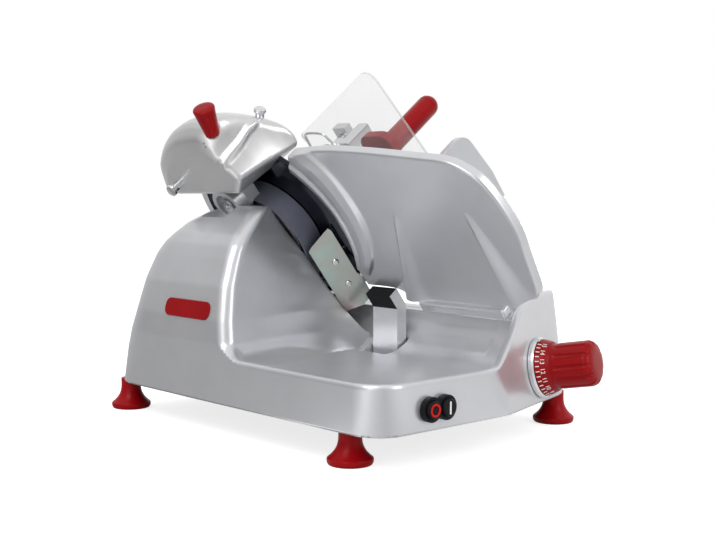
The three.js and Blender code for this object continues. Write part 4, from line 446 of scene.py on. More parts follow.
BLADE_RADIUS = 97.5
PLATE_LENGTH = 220.5
PLATE_RISE = 91.5
PLATE_SHARES = [
    (-0.039, 0.973), (0.179, 1), (0.374, 0.967), (0.565, 0.918), (0.719, 0.874), (0.8, 0.852),
    (0.855, 0.809), (0.9, 0.732), (0.941, 0.645), (0.968, 0.503), (0.986, 0.328), (1, 0.109),
    (1, -0.033), (0.982, -0.24), (0.968, -0.459), (0.946, -0.776), (0.864, -0.809),
    (0.746, -0.951), (0.265, -0.951), (0.193, -0.94), (0.147, -0.809), (-0.052, -0.809),
]
PLATE_DEPTH = 10.0
COLLAR_END = 212.0
EDGE_GAP = 1.6


def on_plate(along, up):
    return -BLADE_RADIUS - PLATE_LENGTH * along, PLATE_RISE * up


def arc(cx, cy, radius, start, end, steps):
    angles = np.radians(np.linspace(start, end, steps + 1))
    return [(cx + radius * math.cos(a), cy + radius * math.sin(a)) for a in angles]


def smooth_outline(points, rounds=3):
    """Cuts the corners of an open run of points again and again, which leaves its ends."""
    points = np.array(points, float)
    for _ in range(rounds):
        a, b = points[:-1], points[1:]
        cut = np.stack([a * 0.75 + b * 0.25, a * 0.25 + b * 0.75], 1).reshape(-1, 2)
        points = np.concatenate([points[:1], cut[1:-1], points[-1:]])
    return [tuple(p) for p in points]


def fold(u, v, top, bottom, height):
    """A raised fold that grows from its top to its bottom: steep on one side, eased on the other."""
    (ax, ay), (bx, by) = on_plate(*top), on_plate(*bottom)
    ex, ey = bx - ax, by - ay
    length = math.hypot(ex, ey)
    t = np.clip(((u - ax) * ex + (v - ay) * ey) / length ** 2, 0, 1.2)
    side = ((u - ax) * ey - (v - ay) * ex) / length
    width = np.where(side > 0, 6 + 24 * t, 1.6 + 3.4 * t)
    fall = np.clip(1 - abs(side) / width, 0, 1)
    return height * t ** 0.8 * fall ** 2 * (3 - 2 * fall)


PLATE_RUN = smooth_outline([on_plate(*p) for p in PLATE_SHARES])
PLATE_EDGE = arc(0, 0, BLADE_RADIUS + EDGE_GAP, COLLAR_END, 137, 48)


# The collar's outer edge round the blade: (degrees, radius), then its section from the outside in.
COLLAR = np.array([(128, 148), (150, 147), (172, 139), (199, 124), (COLLAR_END, 114)])
COLLAR_SECTION = np.array([
    (-0.04, 0), (0.08, 3.6), (0.3, 5.4), (0.55, 4.8), (0.66, 2.6), (0.7, 2.6), (0.78, 4.4),
    (1, 1),
])


def collar(u, v):
    """The height of the raised collar on the back of the plate."""
    angle = np.degrees(np.arctan2(v, u)) % 360
    outer = eased(angle, COLLAR[:, 0], COLLAR[:, 1], 8)
    share = (outer - np.hypot(u, v)) / (outer - BLADE_RADIUS - EDGE_GAP)
    height = eased(share, COLLAR_SECTION[:, 0], COLLAR_SECTION[:, 1], 0.04)
    return height * np.clip((COLLAR_END - angle) / 10, 0, 1) ** 0.5


def gauge_plate(u, v, w):
    """The thickness plate with its folds, its collar, its grooved face and its lip."""
    outline = outline_field(u, v, PLATE_RUN + PLATE_EDGE)
    relief = np.maximum(fold(u, v, (0.385, 0.2), (0.2, -0.874), 5.8),
                        fold(u, v, (0.785, 0.25), (0.8, -0.92), 5.8))
    relief = np.maximum(relief, collar(u, v))
    body = round_meet(outline, np.maximum(w, (-PLATE_DEPTH - relief - w) * 0.93), 2.2)
    cone = (np.hypot(u + 44, v - 7) - 84 - 8 * w) / 8.06
    body = cut_away(body, np.maximum(cone, -3 - w), 0.4)
    groove = abs((v + 64.7 + 3.5) % 7 - 3.5) - 1.3
    groove = np.maximum(np.maximum(groove, -0.8 - w), abs(v - 5.3) - 71.5)
    body = cut_away(body, groove, 0.3)
    lip = block(u, v, w, (-258, -97, -15), (-152, -86, -4), 2.4)
    return round_join(body, lip, 2)


# Sharpener hood, drawn in the cutting frame: along w, its size, the rear angle as a share of
# a half turn, then its lower rear corner as shares of the largest radius.
HOOD_SHARES = np.array([
    (0.000, 0.889, 0.2889, 0.569, 0.486),
    (0.054, 0.931, 0.2722, 0.590, 0.479),
    (0.108, 0.958, 0.2611, 0.604, 0.479),
    (0.203, 0.986, 0.2500, 0.611, 0.479),
    (0.297, 1.000, 0.2444, 0.618, 0.479),
    (0.432, 0.997, 0.2389, 0.618, 0.479),
    (0.568, 0.976, 0.2389, 0.611, 0.479),
    (0.703, 0.934, 0.2389, 0.597, 0.472),
    (0.811, 0.889, 0.2500, 0.576, 0.465),
    (0.919, 0.840, 0.2611, 0.549, 0.458),
    (1.000, 0.799, 0.2778, 0.507, 0.458),
])
HOOD_RADIUS = 144.0
HOOD_FALL = 13.0
HOOD_BACK, HOOD_FRONT, HOOD_WALL = -52.0, 22.0, 4.0
HOOD_MIDDLE, HOOD_HALF = (HOOD_BACK + HOOD_FRONT) / 2, (HOOD_FRONT - HOOD_BACK) / 2


def beside(x, y, a, b):
    """Distance outside the line from a to b, with the inside on its left."""
    ex, ey = b[0] - a[0], b[1] - a[1]
    return ((x - a[0]) * ey - (y - a[1]) * ex) / np.hypot(ex, ey)


# Where the roof meets the front: (w, radius, degrees).
HOOD_BEND = np.array([
    (-52, 128, 104), (-35, 142, 104), (-26, 142, 106.5), (-13, 138, 110.5), (0, 133, 114.5),
    (10, 122, 120), (22, 106, 129),
])
# The bead on the front: (w, u, v).
HOOD_BEAD = np.array([
    (-52, -41.5, 106), (-40, -45, 110), (-26, -49.5, 114), (-13, -53, 119), (0, -58, 121),
])


def hood_sides(u, v, w):
    """Distances outside the roof, the front, the nose, the rear and the bottom."""
    along = (w - HOOD_BACK) / (HOOD_FRONT - HOOD_BACK)
    size, rear, ru, rv = [
        eased(along, HOOD_SHARES[:, 0], HOOD_SHARES[:, k], 0.03) for k in range(1, 5)
    ]
    top, bend = [eased(w, HOOD_BEND[:, 0], HOOD_BEND[:, k], 3) for k in (1, 2)]
    radius = HOOD_RADIUS * size
    angle = np.degrees(np.arctan2(v, u))
    rear = 180 * rear
    roof = radius - HOOD_FALL * np.clip((bend - angle) / (bend - rear), 0, 1) ** 1.4
    front_top = [top * f(np.radians(bend)) for f in (np.cos, np.sin)]
    rear_top = [(radius - HOOD_FALL) * f(np.radians(rear)) for f in (np.cos, np.sin)]
    front_low = (-54 - 11 * along, 91 - 14 * along)
    nose_low = (-38 + 4 * along, 72 - 8 * along)
    rear_low = (HOOD_RADIUS * ru, HOOD_RADIUS * rv)
    return (
        (np.hypot(u, v) - roof) * 0.96, beside(u, v, front_top, front_low),
        beside(u, v, front_low, nose_low), beside(u, v, rear_low, rear_top),
        beside(u, v, nose_low, rear_low),
    )


def hood(u, v, w):
    """The hood's shell, open below, with its bead and the notch in its back wall."""
    roof, front, nose, rear, bottom = hood_sides(u, v, w)
    around = round_meet(round_meet(roof, front, 10), nose, 4)
    around = round_meet(around, rear, 12)
    along = abs(w - HOOD_MIDDLE)
    body = round_meet(round_meet(around, bottom, 0.8), along - HOOD_HALF, 6)
    room = round_meet(around + HOOD_WALL, along - HOOD_HALF + HOOD_WALL, 3)
    bead_u, bead_v = [np.interp(w, HOOD_BEAD[:, 0], HOOD_BEAD[:, k]) for k in (1, 2)]
    bead = np.maximum(np.hypot(u - bead_u, v - bead_v) - 1, abs(w + 26) - 23)
    body = round_join(body, bead, 7)
    body = cut_away(body, room, 0.8)
    notch = convex_plan(u, v, [(52, 60, 2), (86, 60, 2), (86, 79, 2), (70, 79, 2)])
    return cut_away(body, np.maximum(notch, abs(w + 50) - 8), 0.6)


# Shader nodes

def feed(tree, node, values):
    """Sets a node's inputs, by name or place, to values or to other nodes' outputs."""
    for key, value in values.items():
        if isinstance(value, bpy.types.NodeSocket):
            tree.links.new(value, node.inputs[key])
        else:
            node.inputs[key].default_value = value


def add_node(tree, kind, values, output=0):
    """Adds a node, feeds it and returns one of its outputs."""
    node = tree.nodes.new("ShaderNode" + kind)
    feed(tree, node, values)
    return node.outputs[output]


def math_node(tree, operation, *values):
    node = tree.nodes.new("ShaderNodeMath")
    node.operation = operation
    feed(tree, node, dict(enumerate(values)))
    return node.outputs[0]


def blend_colours(tree, factor, a, b):
    node = tree.nodes.new("ShaderNodeMix")
    node.data_type = "RGBA"
    feed(tree, node, {0: factor, 6: a, 7: b})
    return node.outputs[2]


def grey(value):
    return value, value, value, 1


# Materials, all procedural

def grain_nodes(tree, coords, scale, stretch):
    """A noise in the object's own axes, stretched along them."""
    place = add_node(tree, "Mapping", {"Vector": coords, "Scale": stretch})
    return add_node(tree, "TexNoise", {
        "Vector": place, "Scale": scale, "Detail": 4.0, "Roughness": 0.6})


def ranged(tree, value, low, high):
    """The middle of a noise's range, spread from low to high."""
    return add_node(tree, "MapRange", {
        "Value": value, "From Min": 0.3, "From Max": 0.7, "To Min": low, "To Max": high})


def surface(name, colour, roughness, hard=0.0, tint=0.08, blotch=18.0, grain=900.0,
            stretch=(1, 1, 1), wear=0.06, bump=0.1, depth=0.00003, second=None, extra=None):
    """A material with blotches in its colour and a finer grain in its gloss and relief."""
    material = bpy.data.materials.new(name)
    material.use_nodes = True
    tree = material.node_tree
    coords = add_node(tree, "TexCoord", {}, "Object")
    blotches = grain_nodes(tree, coords, blotch, (1, 1, 1))
    fine = grain_nodes(tree, coords, grain, stretch)
    low = (*[c * (1 - tint) for c in colour], 1)
    high = (*[min(c * (1 + tint), 1) for c in second or colour], 1)
    values = {
        "Base Color": blend_colours(tree, ranged(tree, blotches, 0, 1), low, high),
        "Roughness": ranged(tree, fine, roughness - wear / 2, roughness + wear),
        "Metallic": hard,
    }
    if bump:
        values["Normal"] = add_node(tree, "Bump", {
            "Strength": bump, "Distance": depth, "Height": fine})
    feed(tree, tree.nodes["Principled BSDF"], {**values, **(extra or {})})
    return material


METAL_GRAIN = dict(tint=0.04, wear=0.05)
CAST_GRAIN = dict(tint=0.04, wear=0.015, bump=0.0)
DULL = {"Specular IOR Level": 0.13}
RECIPES = {
    "cast_aluminium": dict(colour=(0.70, 0.705, 0.73), roughness=0.29, hard=0.66, grain=160.0,
                           stretch=(6, 6, 0.35), **CAST_GRAIN),
    "plate_aluminium": dict(colour=(0.72, 0.725, 0.75), roughness=0.29, hard=0.75, grain=30.0,
                            stretch=(1, 0.2, 1), **CAST_GRAIN),
    "hood_aluminium": dict(colour=(0.71, 0.71, 0.715), roughness=0.29, hard=0.75, grain=30.0,
                           stretch=(1, 0.2, 1), **CAST_GRAIN),
    "bright_aluminium": dict(hard=1.0, colour=(0.8, 0.805, 0.82), roughness=0.18, **METAL_GRAIN),
    "chrome": dict(hard=1.0, colour=(0.8, 0.81, 0.83), roughness=0.09, bump=0.02, **METAL_GRAIN),
    # blade_steel's near-black colour is painted shade: the steel is darkened to stand for the shadow
    # on the blade's back and the dark it reflects.
    "blade_steel": dict(hard=1.0, colour=(0.08, 0.085, 0.105), roughness=0.12, bump=0.03,
                        **METAL_GRAIN),
    "dark_steel": dict(hard=1.0, colour=(0.12, 0.125, 0.13), roughness=0.38, **METAL_GRAIN),
    "zinc_plate": dict(hard=1.0, colour=(0.62, 0.5, 0.46), second=(0.5, 0.62, 0.56), roughness=0.16,
                       blotch=26.0, bump=0.05, **METAL_GRAIN),
    "red_plastic": dict(colour=(0.3, 0.005, 0.007), roughness=0.16, wear=0.04, bump=0.05,
                        extra=DULL),
    "red_rubber": dict(colour=(0.36, 0.004, 0.007), roughness=0.3, bump=0.2, extra=DULL),
    "black_plastic": dict(colour=(0.009, 0.009, 0.011), roughness=0.35, tint=0.2, extra=DULL),
    "black_rubber": dict(colour=(0.014, 0.014, 0.014), roughness=0.75, tint=0.2, bump=0.6,
                         extra=DULL),
    "clear_plastic": dict(colour=(0.95, 0.96, 0.95), roughness=0.06, tint=0.01, bump=0.02,
                          wear=0.02, extra={"Alpha": 0.12}),
    # The guard's edge faces get this grey, half-opaque look: painted shade that stands for the
    # refraction at the clear plastic's edges.
    "clear_edge": dict(colour=(0.5, 0.53, 0.52), roughness=0.2, tint=0.1, bump=0.02,
                       extra={"Alpha": 0.5}),
    "stone": dict(colour=(0.42, 0.39, 0.34), roughness=0.85, tint=0.3, bump=1.0, depth=0.0003),
    "motor_paint": dict(colour=(0.13, 0.14, 0.18), roughness=0.4, tint=0.15),
    "white_mark": dict(colour=(0.85, 0.85, 0.84), roughness=0.4, tint=0.02),
    "red_mark": dict(colour=(0.6, 0.01, 0.01), roughness=0.4, tint=0.04, extra=DULL),
}


COLOUR_PROPERTIES = {
    "red_plastic": "grips", "red_rubber": "feet", "cast_aluminium": "casting",
    "hood_aluminium": "cover", "black_plastic": "buttons",
}


def material(name):
    found = bpy.data.materials.get(name + "_look")
    if found:
        return found
    recipe = dict(RECIPES[name])
    if name in COLOUR_PROPERTIES:
        recipe["colour"] = getattr(bpy.context.scene.slicer_colours, COLOUR_PROPERTIES[name])
    return surface(name + "_look", **recipe)


NODE_LOOKS = {
    "base_casting": "cast_aluminium", "gauge_plate": "plate_aluminium",
    "sharpener_hood": "hood_aluminium", "deflector_plate": "zinc_plate",
    "belt_cover": "motor_paint", "gauge_arm": "cast_aluminium",
}
SLOT_OF = {part["node"]: part["material_slot"] for part in frame["record"]["subparts"]}
BODY_OF = {name: node["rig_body"] for name, node in frame["nodes"].items()}


def look_of(node_name):
    """The material for a frame node: its own, or the one its record slot stands for."""
    slot = SLOT_OF[node_name]
    return NODE_LOOKS.get(node_name, "chrome" if slot == "steel" else slot)


# Pieces

def finish_piece(obj, look, *nodes):
    """Gives a piece its material, its body and the frame nodes that it stands for."""
    obj.data.materials.clear()
    obj.data.materials.append(material(look))
    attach(obj, BODY_OF[nodes[0]])
    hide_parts(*nodes)
    return obj


FRAME_SHARP = 35.0


def dressed(name, node_name, width, look):
    """A copy of a frame node with its edges softened."""
    mesh = frame["nodes"][node_name].data.copy()
    for name_ in ("custom_normal", "sharp_edge", "sharp_face"):
        if name_ in mesh.attributes:
            mesh.attributes.remove(mesh.attributes[name_])
    work = bmesh.new()
    work.from_mesh(mesh)
    bmesh.ops.remove_doubles(work, verts=work.verts, dist=1e-6)
    bmesh.ops.dissolve_limit(work, angle_limit=math.radians(0.5), verts=work.verts,
                             edges=work.edges)
    work.to_mesh(mesh)
    work.free()
    smooth(mesh, FRAME_SHARP)
    temporary = new_object(name + "_work", mesh)
    bevel = temporary.modifiers.new("soften", "BEVEL")
    bevel.width = width * MM
    bevel.segments = 2
    bevel.limit_method = "ANGLE"
    bevel.angle_limit = math.radians(FRAME_SHARP)
    bevel.harden_normals = True
    return finish_piece(made_plain(name, temporary), look, node_name)


def softened(points, reach, count=5):
    """Rounds the corners of an open profile with short curves."""
    points = [Vector(p) for p in points]
    out = [points[0]]
    for a, b, c in zip(points, points[1:], points[2:]):
        before, after = a - b, c - b
        near = b + before.normalized() * min(reach, before.length * 0.45)
        far = b + after.normalized() * min(reach, after.length * 0.45)
        out += [near.lerp(b, t).lerp(b.lerp(far, t), t) for t in np.linspace(0, 1, count)]
    return out + [points[-1]]


def turned(name, profile, matrix, steps=96, shape=None, sharp=30.0):
    """Turns a profile of (radius, height), run from axis to axis, about a frame's z axis."""
    profile = np.array([tuple(p) for p in profile], float)
    angles = np.linspace(0, 2 * math.pi, steps, endpoint=False)[None, :]
    height = np.repeat(profile[:, 1:], steps, 1)
    radius = np.repeat(profile[:, :1], steps, 1)
    if shape:
        radius = shape(radius, height, angles)
    points = np.stack([radius * np.cos(angles), radius * np.sin(angles), height], -1)
    rows = np.arange(len(profile) * steps).reshape(len(profile), steps)
    ahead = np.roll(rows, -1, 1)
    faces = np.stack([rows[:-1], ahead[:-1], ahead[1:], rows[1:]], -1).reshape(-1, 4)
    mesh = bpy.data.meshes.new(name)
    mesh.from_pydata(points.reshape(-1, 3).tolist(), [], faces.tolist())
    work = bmesh.new()
    work.from_mesh(mesh)
    bmesh.ops.remove_doubles(work, verts=work.verts, dist=1e-4)
    bmesh.ops.dissolve_degenerate(work, edges=work.edges, dist=1e-5)
    work.to_mesh(mesh)
    work.free()
    mesh.transform(Matrix.Scale(MM, 4) @ matrix)
    smooth(mesh, sharp)
    return new_object(name, mesh)


def merged(name, parts):
    """One object from (mesh, matrix) pairs given in millimetres."""
    work = bmesh.new()
    for mesh, matrix in parts:
        copy = mesh.copy()
        copy.transform(matrix)
        work.from_mesh(copy)
        bpy.data.meshes.remove(copy)
    mesh = bpy.data.meshes.new(name)
    work.to_mesh(mesh)
    work.free()
    mesh.transform(Matrix.Scale(MM, 4))
    return new_object(name, mesh)


def unit_box():
    """A cube whose corners lie one millimetre out along each axis."""
    signs = (-1, 1)
    mesh = bpy.data.meshes.new("box")
    mesh.from_pydata([(x, y, z) for x in signs for y in signs for z in signs], [],
                     [(0, 1, 3, 2), (4, 6, 7, 5), (0, 4, 5, 1), (2, 3, 7, 6), (0, 2, 6, 4),
                      (1, 5, 7, 3)])
    return mesh


def ring_tree():
    """Copies a piece round its own z axis."""
    tree = bpy.data.node_groups.new("ring_of_copies", "GeometryNodeTree")
    for name, kind in (("Piece", "Geometry"), ("Count", "Int"), ("Start", "Float"),
                       ("Step", "Float"), ("Look", "Material")):
        tree.interface.new_socket(name, in_out="INPUT", socket_type="NodeSocket" + kind)
    tree.interface.new_socket("Ring", in_out="OUTPUT", socket_type="NodeSocketGeometry")
    node, link = tree.nodes.new, tree.links.new
    given = node("NodeGroupInput").outputs
    points = node("GeometryNodePoints")
    link(given["Count"], points.inputs["Count"])
    index = node("GeometryNodeInputIndex").outputs[0]
    turn = node("ShaderNodeCombineXYZ")
    link(math_node(tree, "MULTIPLY_ADD", index, given["Step"], given["Start"]), turn.inputs["Z"])
    rotation = node("FunctionNodeEulerToRotation")
    link(turn.outputs[0], rotation.inputs[0])
    copies = node("GeometryNodeInstanceOnPoints")
    link(points.outputs[0], copies.inputs["Points"])
    link(given["Piece"], copies.inputs["Instance"])
    link(rotation.outputs[0], copies.inputs["Rotation"])
    real = node("GeometryNodeRealizeInstances")
    link(copies.outputs[0], real.inputs[0])
    dress = node("GeometryNodeSetMaterial")
    link(real.outputs[0], dress.inputs["Geometry"])
    link(given["Look"], dress.inputs["Material"])
    link(dress.outputs[0], node("NodeGroupOutput").inputs[0])
    return tree


def ringed(name, mesh, look, values):
    """A ring of copies of a mesh, as a plain object."""
    obj = new_object(name + "_work", mesh)
    ring = obj.modifiers.new("ring", "NODES")
    ring.node_group = bpy.data.node_groups.get("ring_of_copies") or ring_tree()
    values = dict(values, Look=material(look))
    for item in ring.node_group.interface.items_tree:
        if item.name in values:
            ring[item.identifier] = values[item.name]
    return made_plain(name, obj)


def text_mesh(text, size, depth):
    curve = bpy.data.curves.new("text", "FONT")
    curve.body = text
    curve.size = size
    curve.extrude = depth / 2
    curve.align_x = curve.align_y = "CENTER"
    obj = new_object("text", curve)
    bpy.context.view_layer.update()
    mesh = evaluated_mesh(obj)
    bpy.data.objects.remove(obj)
    bpy.data.curves.remove(curve)
    return mesh


def mark(obj, look, body):
    """Gives a printed or inlaid mark its material and its body."""
    obj.data.materials.clear()
    obj.data.materials.append(material(look))
    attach(obj, body)
    return obj


# Stage

CAMERA_AT = Vector((-795.28, -870.34, 235.2))
CAMERA_YAW = math.radians(42.09)
CAMERA_PITCH = math.radians(4.39)


def make_camera(lens):
    data = bpy.data.cameras.new("camera")
    data.lens = lens
    data.sensor_width = 36.0
    data.clip_start = 0.01
    camera = new_object("camera", data)
    camera.location = CAMERA_AT * MM
    camera.rotation_euler = (math.pi / 2 - CAMERA_PITCH, 0, -CAMERA_YAW)
    bpy.context.scene.camera = camera


# Name, place, width and height in metres, watts.
LAMPS = [
    ("key", (-1.3, -0.4, 1.5), (0.9, 0.9), 10),
    ("fill", (0.4, -1.6, 0.9), (0.7, 1.0), 6),
]
LAMP_TARGET = Vector((0, 0, 0.1))


def area_light(name, place, size, watts):
    data = bpy.data.lights.new(name, "AREA")
    data.shape = "RECTANGLE"
    data.size, data.size_y = size
    data.energy = watts
    light = new_object(name, data)
    light.location = place
    light.rotation_euler = (LAMP_TARGET - Vector(place)).to_track_quat("-Z", "Y").to_euler()


# The room's brightness round the object: (degrees from +X towards +Y, near the floor, above).
ROOM_TONES = [
    (-180, 0.4, 0.8), (-168, 0.8, 1.1), (-158, 2.0, 2.0), (-146, 0.75, 0.95),
    (-119, 0.3, 0.5), (-96, 0.75, 0.75), (-78, 1.0, 0.85), (-48, 0.66, 0.6), (-10, 1.0, 1.0),
    (40, 1.2, 1.2), (75, 0.7, 0.8), (100, 0.35, 0.55), (132, 0.1, 0.4), (160, 0.22, 0.55),
    (180, 0.4, 0.8),
]
TONE_SCALE = 2.0
CEILING_TONE = 0.95
FLOOR_GLOW = 0.78
FLOOR_MIRROR = 0.7


def tone_ramp(tree, place, stops):
    """A grey ramp over places from 0 to 1."""
    ramp = tree.nodes.new("ShaderNodeValToRGB")
    tree.links.new(place, ramp.inputs["Fac"])
    elements = ramp.color_ramp.elements
    elements[0].position, elements[1].position = stops[0][0], stops[-1][0]
    for at, _ in stops[1:-1]:
        elements.new(at)
    for element, (_, value) in zip(elements, stops):
        element.color = grey(value)
    return ramp.outputs["Color"]


def room_tones(tree, direction):
    """How bright the room is near the floor and above it, in a direction from the object."""
    split = tree.nodes.new("ShaderNodeSeparateXYZ")
    tree.links.new(direction, split.inputs[0])
    angle = math_node(tree, "ARCTAN2", split.outputs["Y"], split.outputs["X"])
    turn = math_node(tree, "MULTIPLY_ADD", angle, 0.5 / math.pi, 0.5)
    low, high = [
        tone_ramp(tree, turn, [((t[0] + 180) / 360, t[k] / TONE_SCALE) for t in ROOM_TONES])
        for k in (1, 2)
    ]
    return low, high, split.outputs["Z"]


def seen_directly(tree, *names):
    """One where a camera ray, or another kind of ray that is named, looks."""
    path = tree.nodes.new("ShaderNodeLightPath")
    total = path.outputs["Is Camera Ray"]
    for name in names:
        total = math_node(tree, "MAXIMUM", total, path.outputs[name])
    return total


def make_world(level):
    """White to the camera, and a room of soft lights to the metal."""
    world = bpy.data.worlds.new("studio")
    bpy.context.scene.world = world
    world.use_nodes = True
    tree = world.node_tree
    tree.nodes.clear()
    low, high, rise = room_tones(tree, add_node(tree, "TexCoord", {}, "Generated"))
    above = add_node(tree, "MapRange", {"Value": rise, "From Min": 0.02, "From Max": 0.3})
    ceiling = add_node(tree, "MapRange", {"Value": rise, "From Min": 0.45, "From Max": 0.8})
    walls = blend_colours(tree, above, low, high)
    tones = blend_colours(tree, ceiling, walls, grey(CEILING_TONE / TONE_SCALE))
    room = add_node(tree, "Background", {"Color": tones, "Strength": level * TONE_SCALE})
    white = add_node(tree, "Background", {"Color": grey(1)})
    seen = seen_directly(tree, "Is Transmission Ray")
    mix = add_node(tree, "MixShader", {0: seen, 1: room, 2: white})
    feed(tree, tree.nodes.new("ShaderNodeOutputWorld"), {"Surface": mix})


def make_floor(size, pale, level):
    """A pale floor: white to the camera but for the shadow, and toned as the room in the metal."""
    mesh = bpy.data.meshes.new("floor")
    half = size / 2
    mesh.from_pydata([(-half, -half, 0), (half, -half, 0), (half, half, 0), (-half, half, 0)],
                     [], [(0, 1, 2, 3)])
    floor = new_object("floor", mesh)
    look = bpy.data.materials.new("floor")
    look.use_nodes = True
    tree = look.node_tree
    shader = tree.nodes["Principled BSDF"]
    feed(tree, shader, {"Base Color": grey(pale), "Roughness": 0.9, "Specular IOR Level": 0.0})
    matt = shader.outputs[0]
    white = add_node(tree, "Emission", {"Strength": FLOOR_GLOW})
    low, _, _ = room_tones(tree, add_node(tree, "TexCoord", {}, "Object"))
    toned = add_node(tree, "Emission", {"Color": low, "Strength": level * TONE_SCALE})
    glossy = add_node(tree, "LightPath", {}, "Is Glossy Ray")
    mirror = math_node(tree, "MULTIPLY", glossy, FLOOR_MIRROR)
    mirrored = add_node(tree, "MixShader", {0: mirror, 1: matt, 2: toned})
    lit = add_node(tree, "AddShader", {0: matt, 1: white})
    seen = seen_directly(tree, "Is Transmission Ray")
    mix = add_node(tree, "MixShader", {0: seen, 1: mirrored, 2: lit})
    feed(tree, tree.nodes["Material Output"], {"Surface": mix})
    mesh.materials.append(look)


# Settings and operators

class SlicerStudio(PropertyGroup):
    """Camera and room."""
    lens: FloatProperty(name="Lens", description="Focal length", default=61.34, unit="CAMERA")
    level: FloatProperty(name="Room light", description="How bright the room is", default=0.9)
    floor: FloatProperty(name="Floor size", description="Width of the floor", default=8.0,
                         unit="LENGTH")
    pale: FloatProperty(name="Floor tone", description="Grey level of the floor", default=0.72,
                        subtype="FACTOR")


class SlicerSizes(PropertyGroup):
    """Softening and detail of the pieces."""
    edge: FloatProperty(name="Edge", description="Radius of machined edges in millimetres",
                        default=0.8)
    cell: FloatProperty(name="Cell", description="Sampling step of the castings in millimetres",
                        default=2.2)


def colour_property(name, description, look):
    return FloatVectorProperty(name=name, description=description, subtype="COLOR", size=3,
                               min=0.0, max=1.0, default=RECIPES[look]["colour"])


class SlicerColours(PropertyGroup):
    """Colours of the pieces."""
    grips: colour_property("Grips", "Colour of the knobs and the handle", "red_plastic")
    feet: colour_property("Feet", "Colour of the rubber feet", "red_rubber")
    casting: colour_property("Base", "Tone of the base casting", "cast_aluminium")
    cover: colour_property("Hood", "Tone of the sharpener's hood", "hood_aluminium")
    buttons: colour_property("Buttons", "Colour of the switch buttons", "black_plastic")


class SLICER_OT_stage(Operator):
    """Add the camera, the lamps, the room and the floor"""
    bl_idname = "slicer.stage"
    bl_label = "Stage"

    def execute(self, context):
        studio = context.scene.slicer_studio
        bpy.context.scene.view_settings.view_transform = "Standard"
        make_camera(studio.lens)
        make_world(studio.level)
        make_floor(studio.floor, studio.pale, studio.level)
        for lamp in LAMPS:
            area_light(*lamp)
        return {"FINISHED"}


# Sampled spans along each axis, in millimetres, with the step where it isn't the base's.
BASE_SPANS = [(-158, 152), (-230, 184), (28, 210)]
PLATE_SPANS = [(-321, -60, 1.5), (-100, 95, 0.7), (-18, 2, 0.8)]
HOOD_SPANS = [(-76, 94, 1.5), (62, 148, 1.5), (-54, 24, 1.5)]


class SLICER_OT_castings(Operator):
    """Build the base casting, the gauge plate and the sharpener hood"""
    bl_idname = "slicer.castings"
    bl_label = "Castings"

    def execute(self, context):
        cell = context.scene.slicer_sizes.cell
        spans = [(*span, cell) for span in BASE_SPANS]
        for name, field, spans, matrix, look, node in (
                ("base", casting, spans, DRAWING, "cast_aluminium", "base_casting"),
                ("plate", gauge_plate, PLATE_SPANS, CUT, "plate_aluminium", "gauge_plate"),
                ("hood", hood, HOOD_SPANS, CUT, "hood_aluminium", "sharpener_hood")):
            places = [ticks(*span) for span in spans]
            finish_piece(cast_piece(name, field, places, matrix), look, node)
        return {"FINISHED"}


KNOB_PROFILE = [
    (0, 32.3), (4.8, 32.3), (4.8, 5.3), (25.6, 5.3), (25.6, 6.2), (22.6, 15), (20.6, 16),
    (19.8, 16.8), (20.2, 19), (20.6, 22), (20.6, 49.2), (19.0, 52.6), (15.6, 54.6), (10.3, 55.4),
    (0, 55.5),
]
DIAL_NUMBERS = range(16)
DIAL_STEP = 21.0
READ_NUMBER, READ_ANGLE = 12, 182.0
FIGURE_SIZE, FIGURE_HEIGHT = 5.6, 12.2
LINE_HALVES, LINE_HEIGHT = (0.4, 1.7, 0.35), 8.0


def fluted(radius, height, angle):
    """The grip's twelve hollows, which run out before the neck and the crown."""
    wave = np.clip(np.cos(12 * angle) - 0.35, 0, 1) / 0.65
    reach = np.clip((height - 20) / 3, 0, 1) * np.clip((56 - height) / 2, 0, 1)
    return radius - 1.5 * wave ** 0.6 * reach * (radius > 15)


def dial_frame(degrees, height):
    """Axes on the dial's cone: x up the dial at the user's side, y to the ring, z outwards."""
    angle = math.radians(degrees)
    out = Vector((math.cos(angle), math.sin(angle), 0))
    slope = Vector((0, 0, 1)) * 8.8 - out * 3
    y = -slope.normalized()
    x = Vector((math.sin(angle), -math.cos(angle), 0))
    matrix = Matrix((x, y, x.cross(y))).transposed().to_4x4()
    radius = 25.6 - 3 * (height - 6.2) / 8.8
    matrix.translation = out * radius + Vector((0, 0, height))
    return matrix


class SLICER_OT_dial(Operator):
    """Build the thickness knob and its dial's figures and lines"""
    bl_idname = "slicer.dial"
    bl_label = "Dial"

    def execute(self, context):
        knob = turned("knob", softened(KNOB_PROFILE, 1.2, 4), KNOB, 288, fluted, 34)
        finish_piece(knob, "red_plastic", "thickness_knob")
        parts = []
        for number in DIAL_NUMBERS:
            angle = READ_ANGLE - (number - READ_NUMBER) * DIAL_STEP
            place = KNOB @ dial_frame(angle, FIGURE_HEIGHT) @ Matrix.Rotation(math.pi, 4, "Z")
            parts.append((text_mesh(str(number), FIGURE_SIZE, 0.7), place))
        mark(merged("dial_numbers", parts), "white_mark", BODY_OF["thickness_knob"])
        line = unit_box()
        line.transform(dial_frame(0, LINE_HEIGHT) @ Matrix.Diagonal((*LINE_HALVES, 1)))
        obj = ringed("dial_lines", line, "white_mark", {
            "Count": len(DIAL_NUMBERS) * 2 - 1,
            "Start": math.radians(READ_ANGLE + READ_NUMBER * DIAL_STEP),
            "Step": -math.radians(DIAL_STEP / 2),
        })
        obj.data.transform(Matrix.Scale(MM, 4) @ KNOB)
        mark(obj, "white_mark", BODY_OF["thickness_knob"])
        return {"FINISHED"}


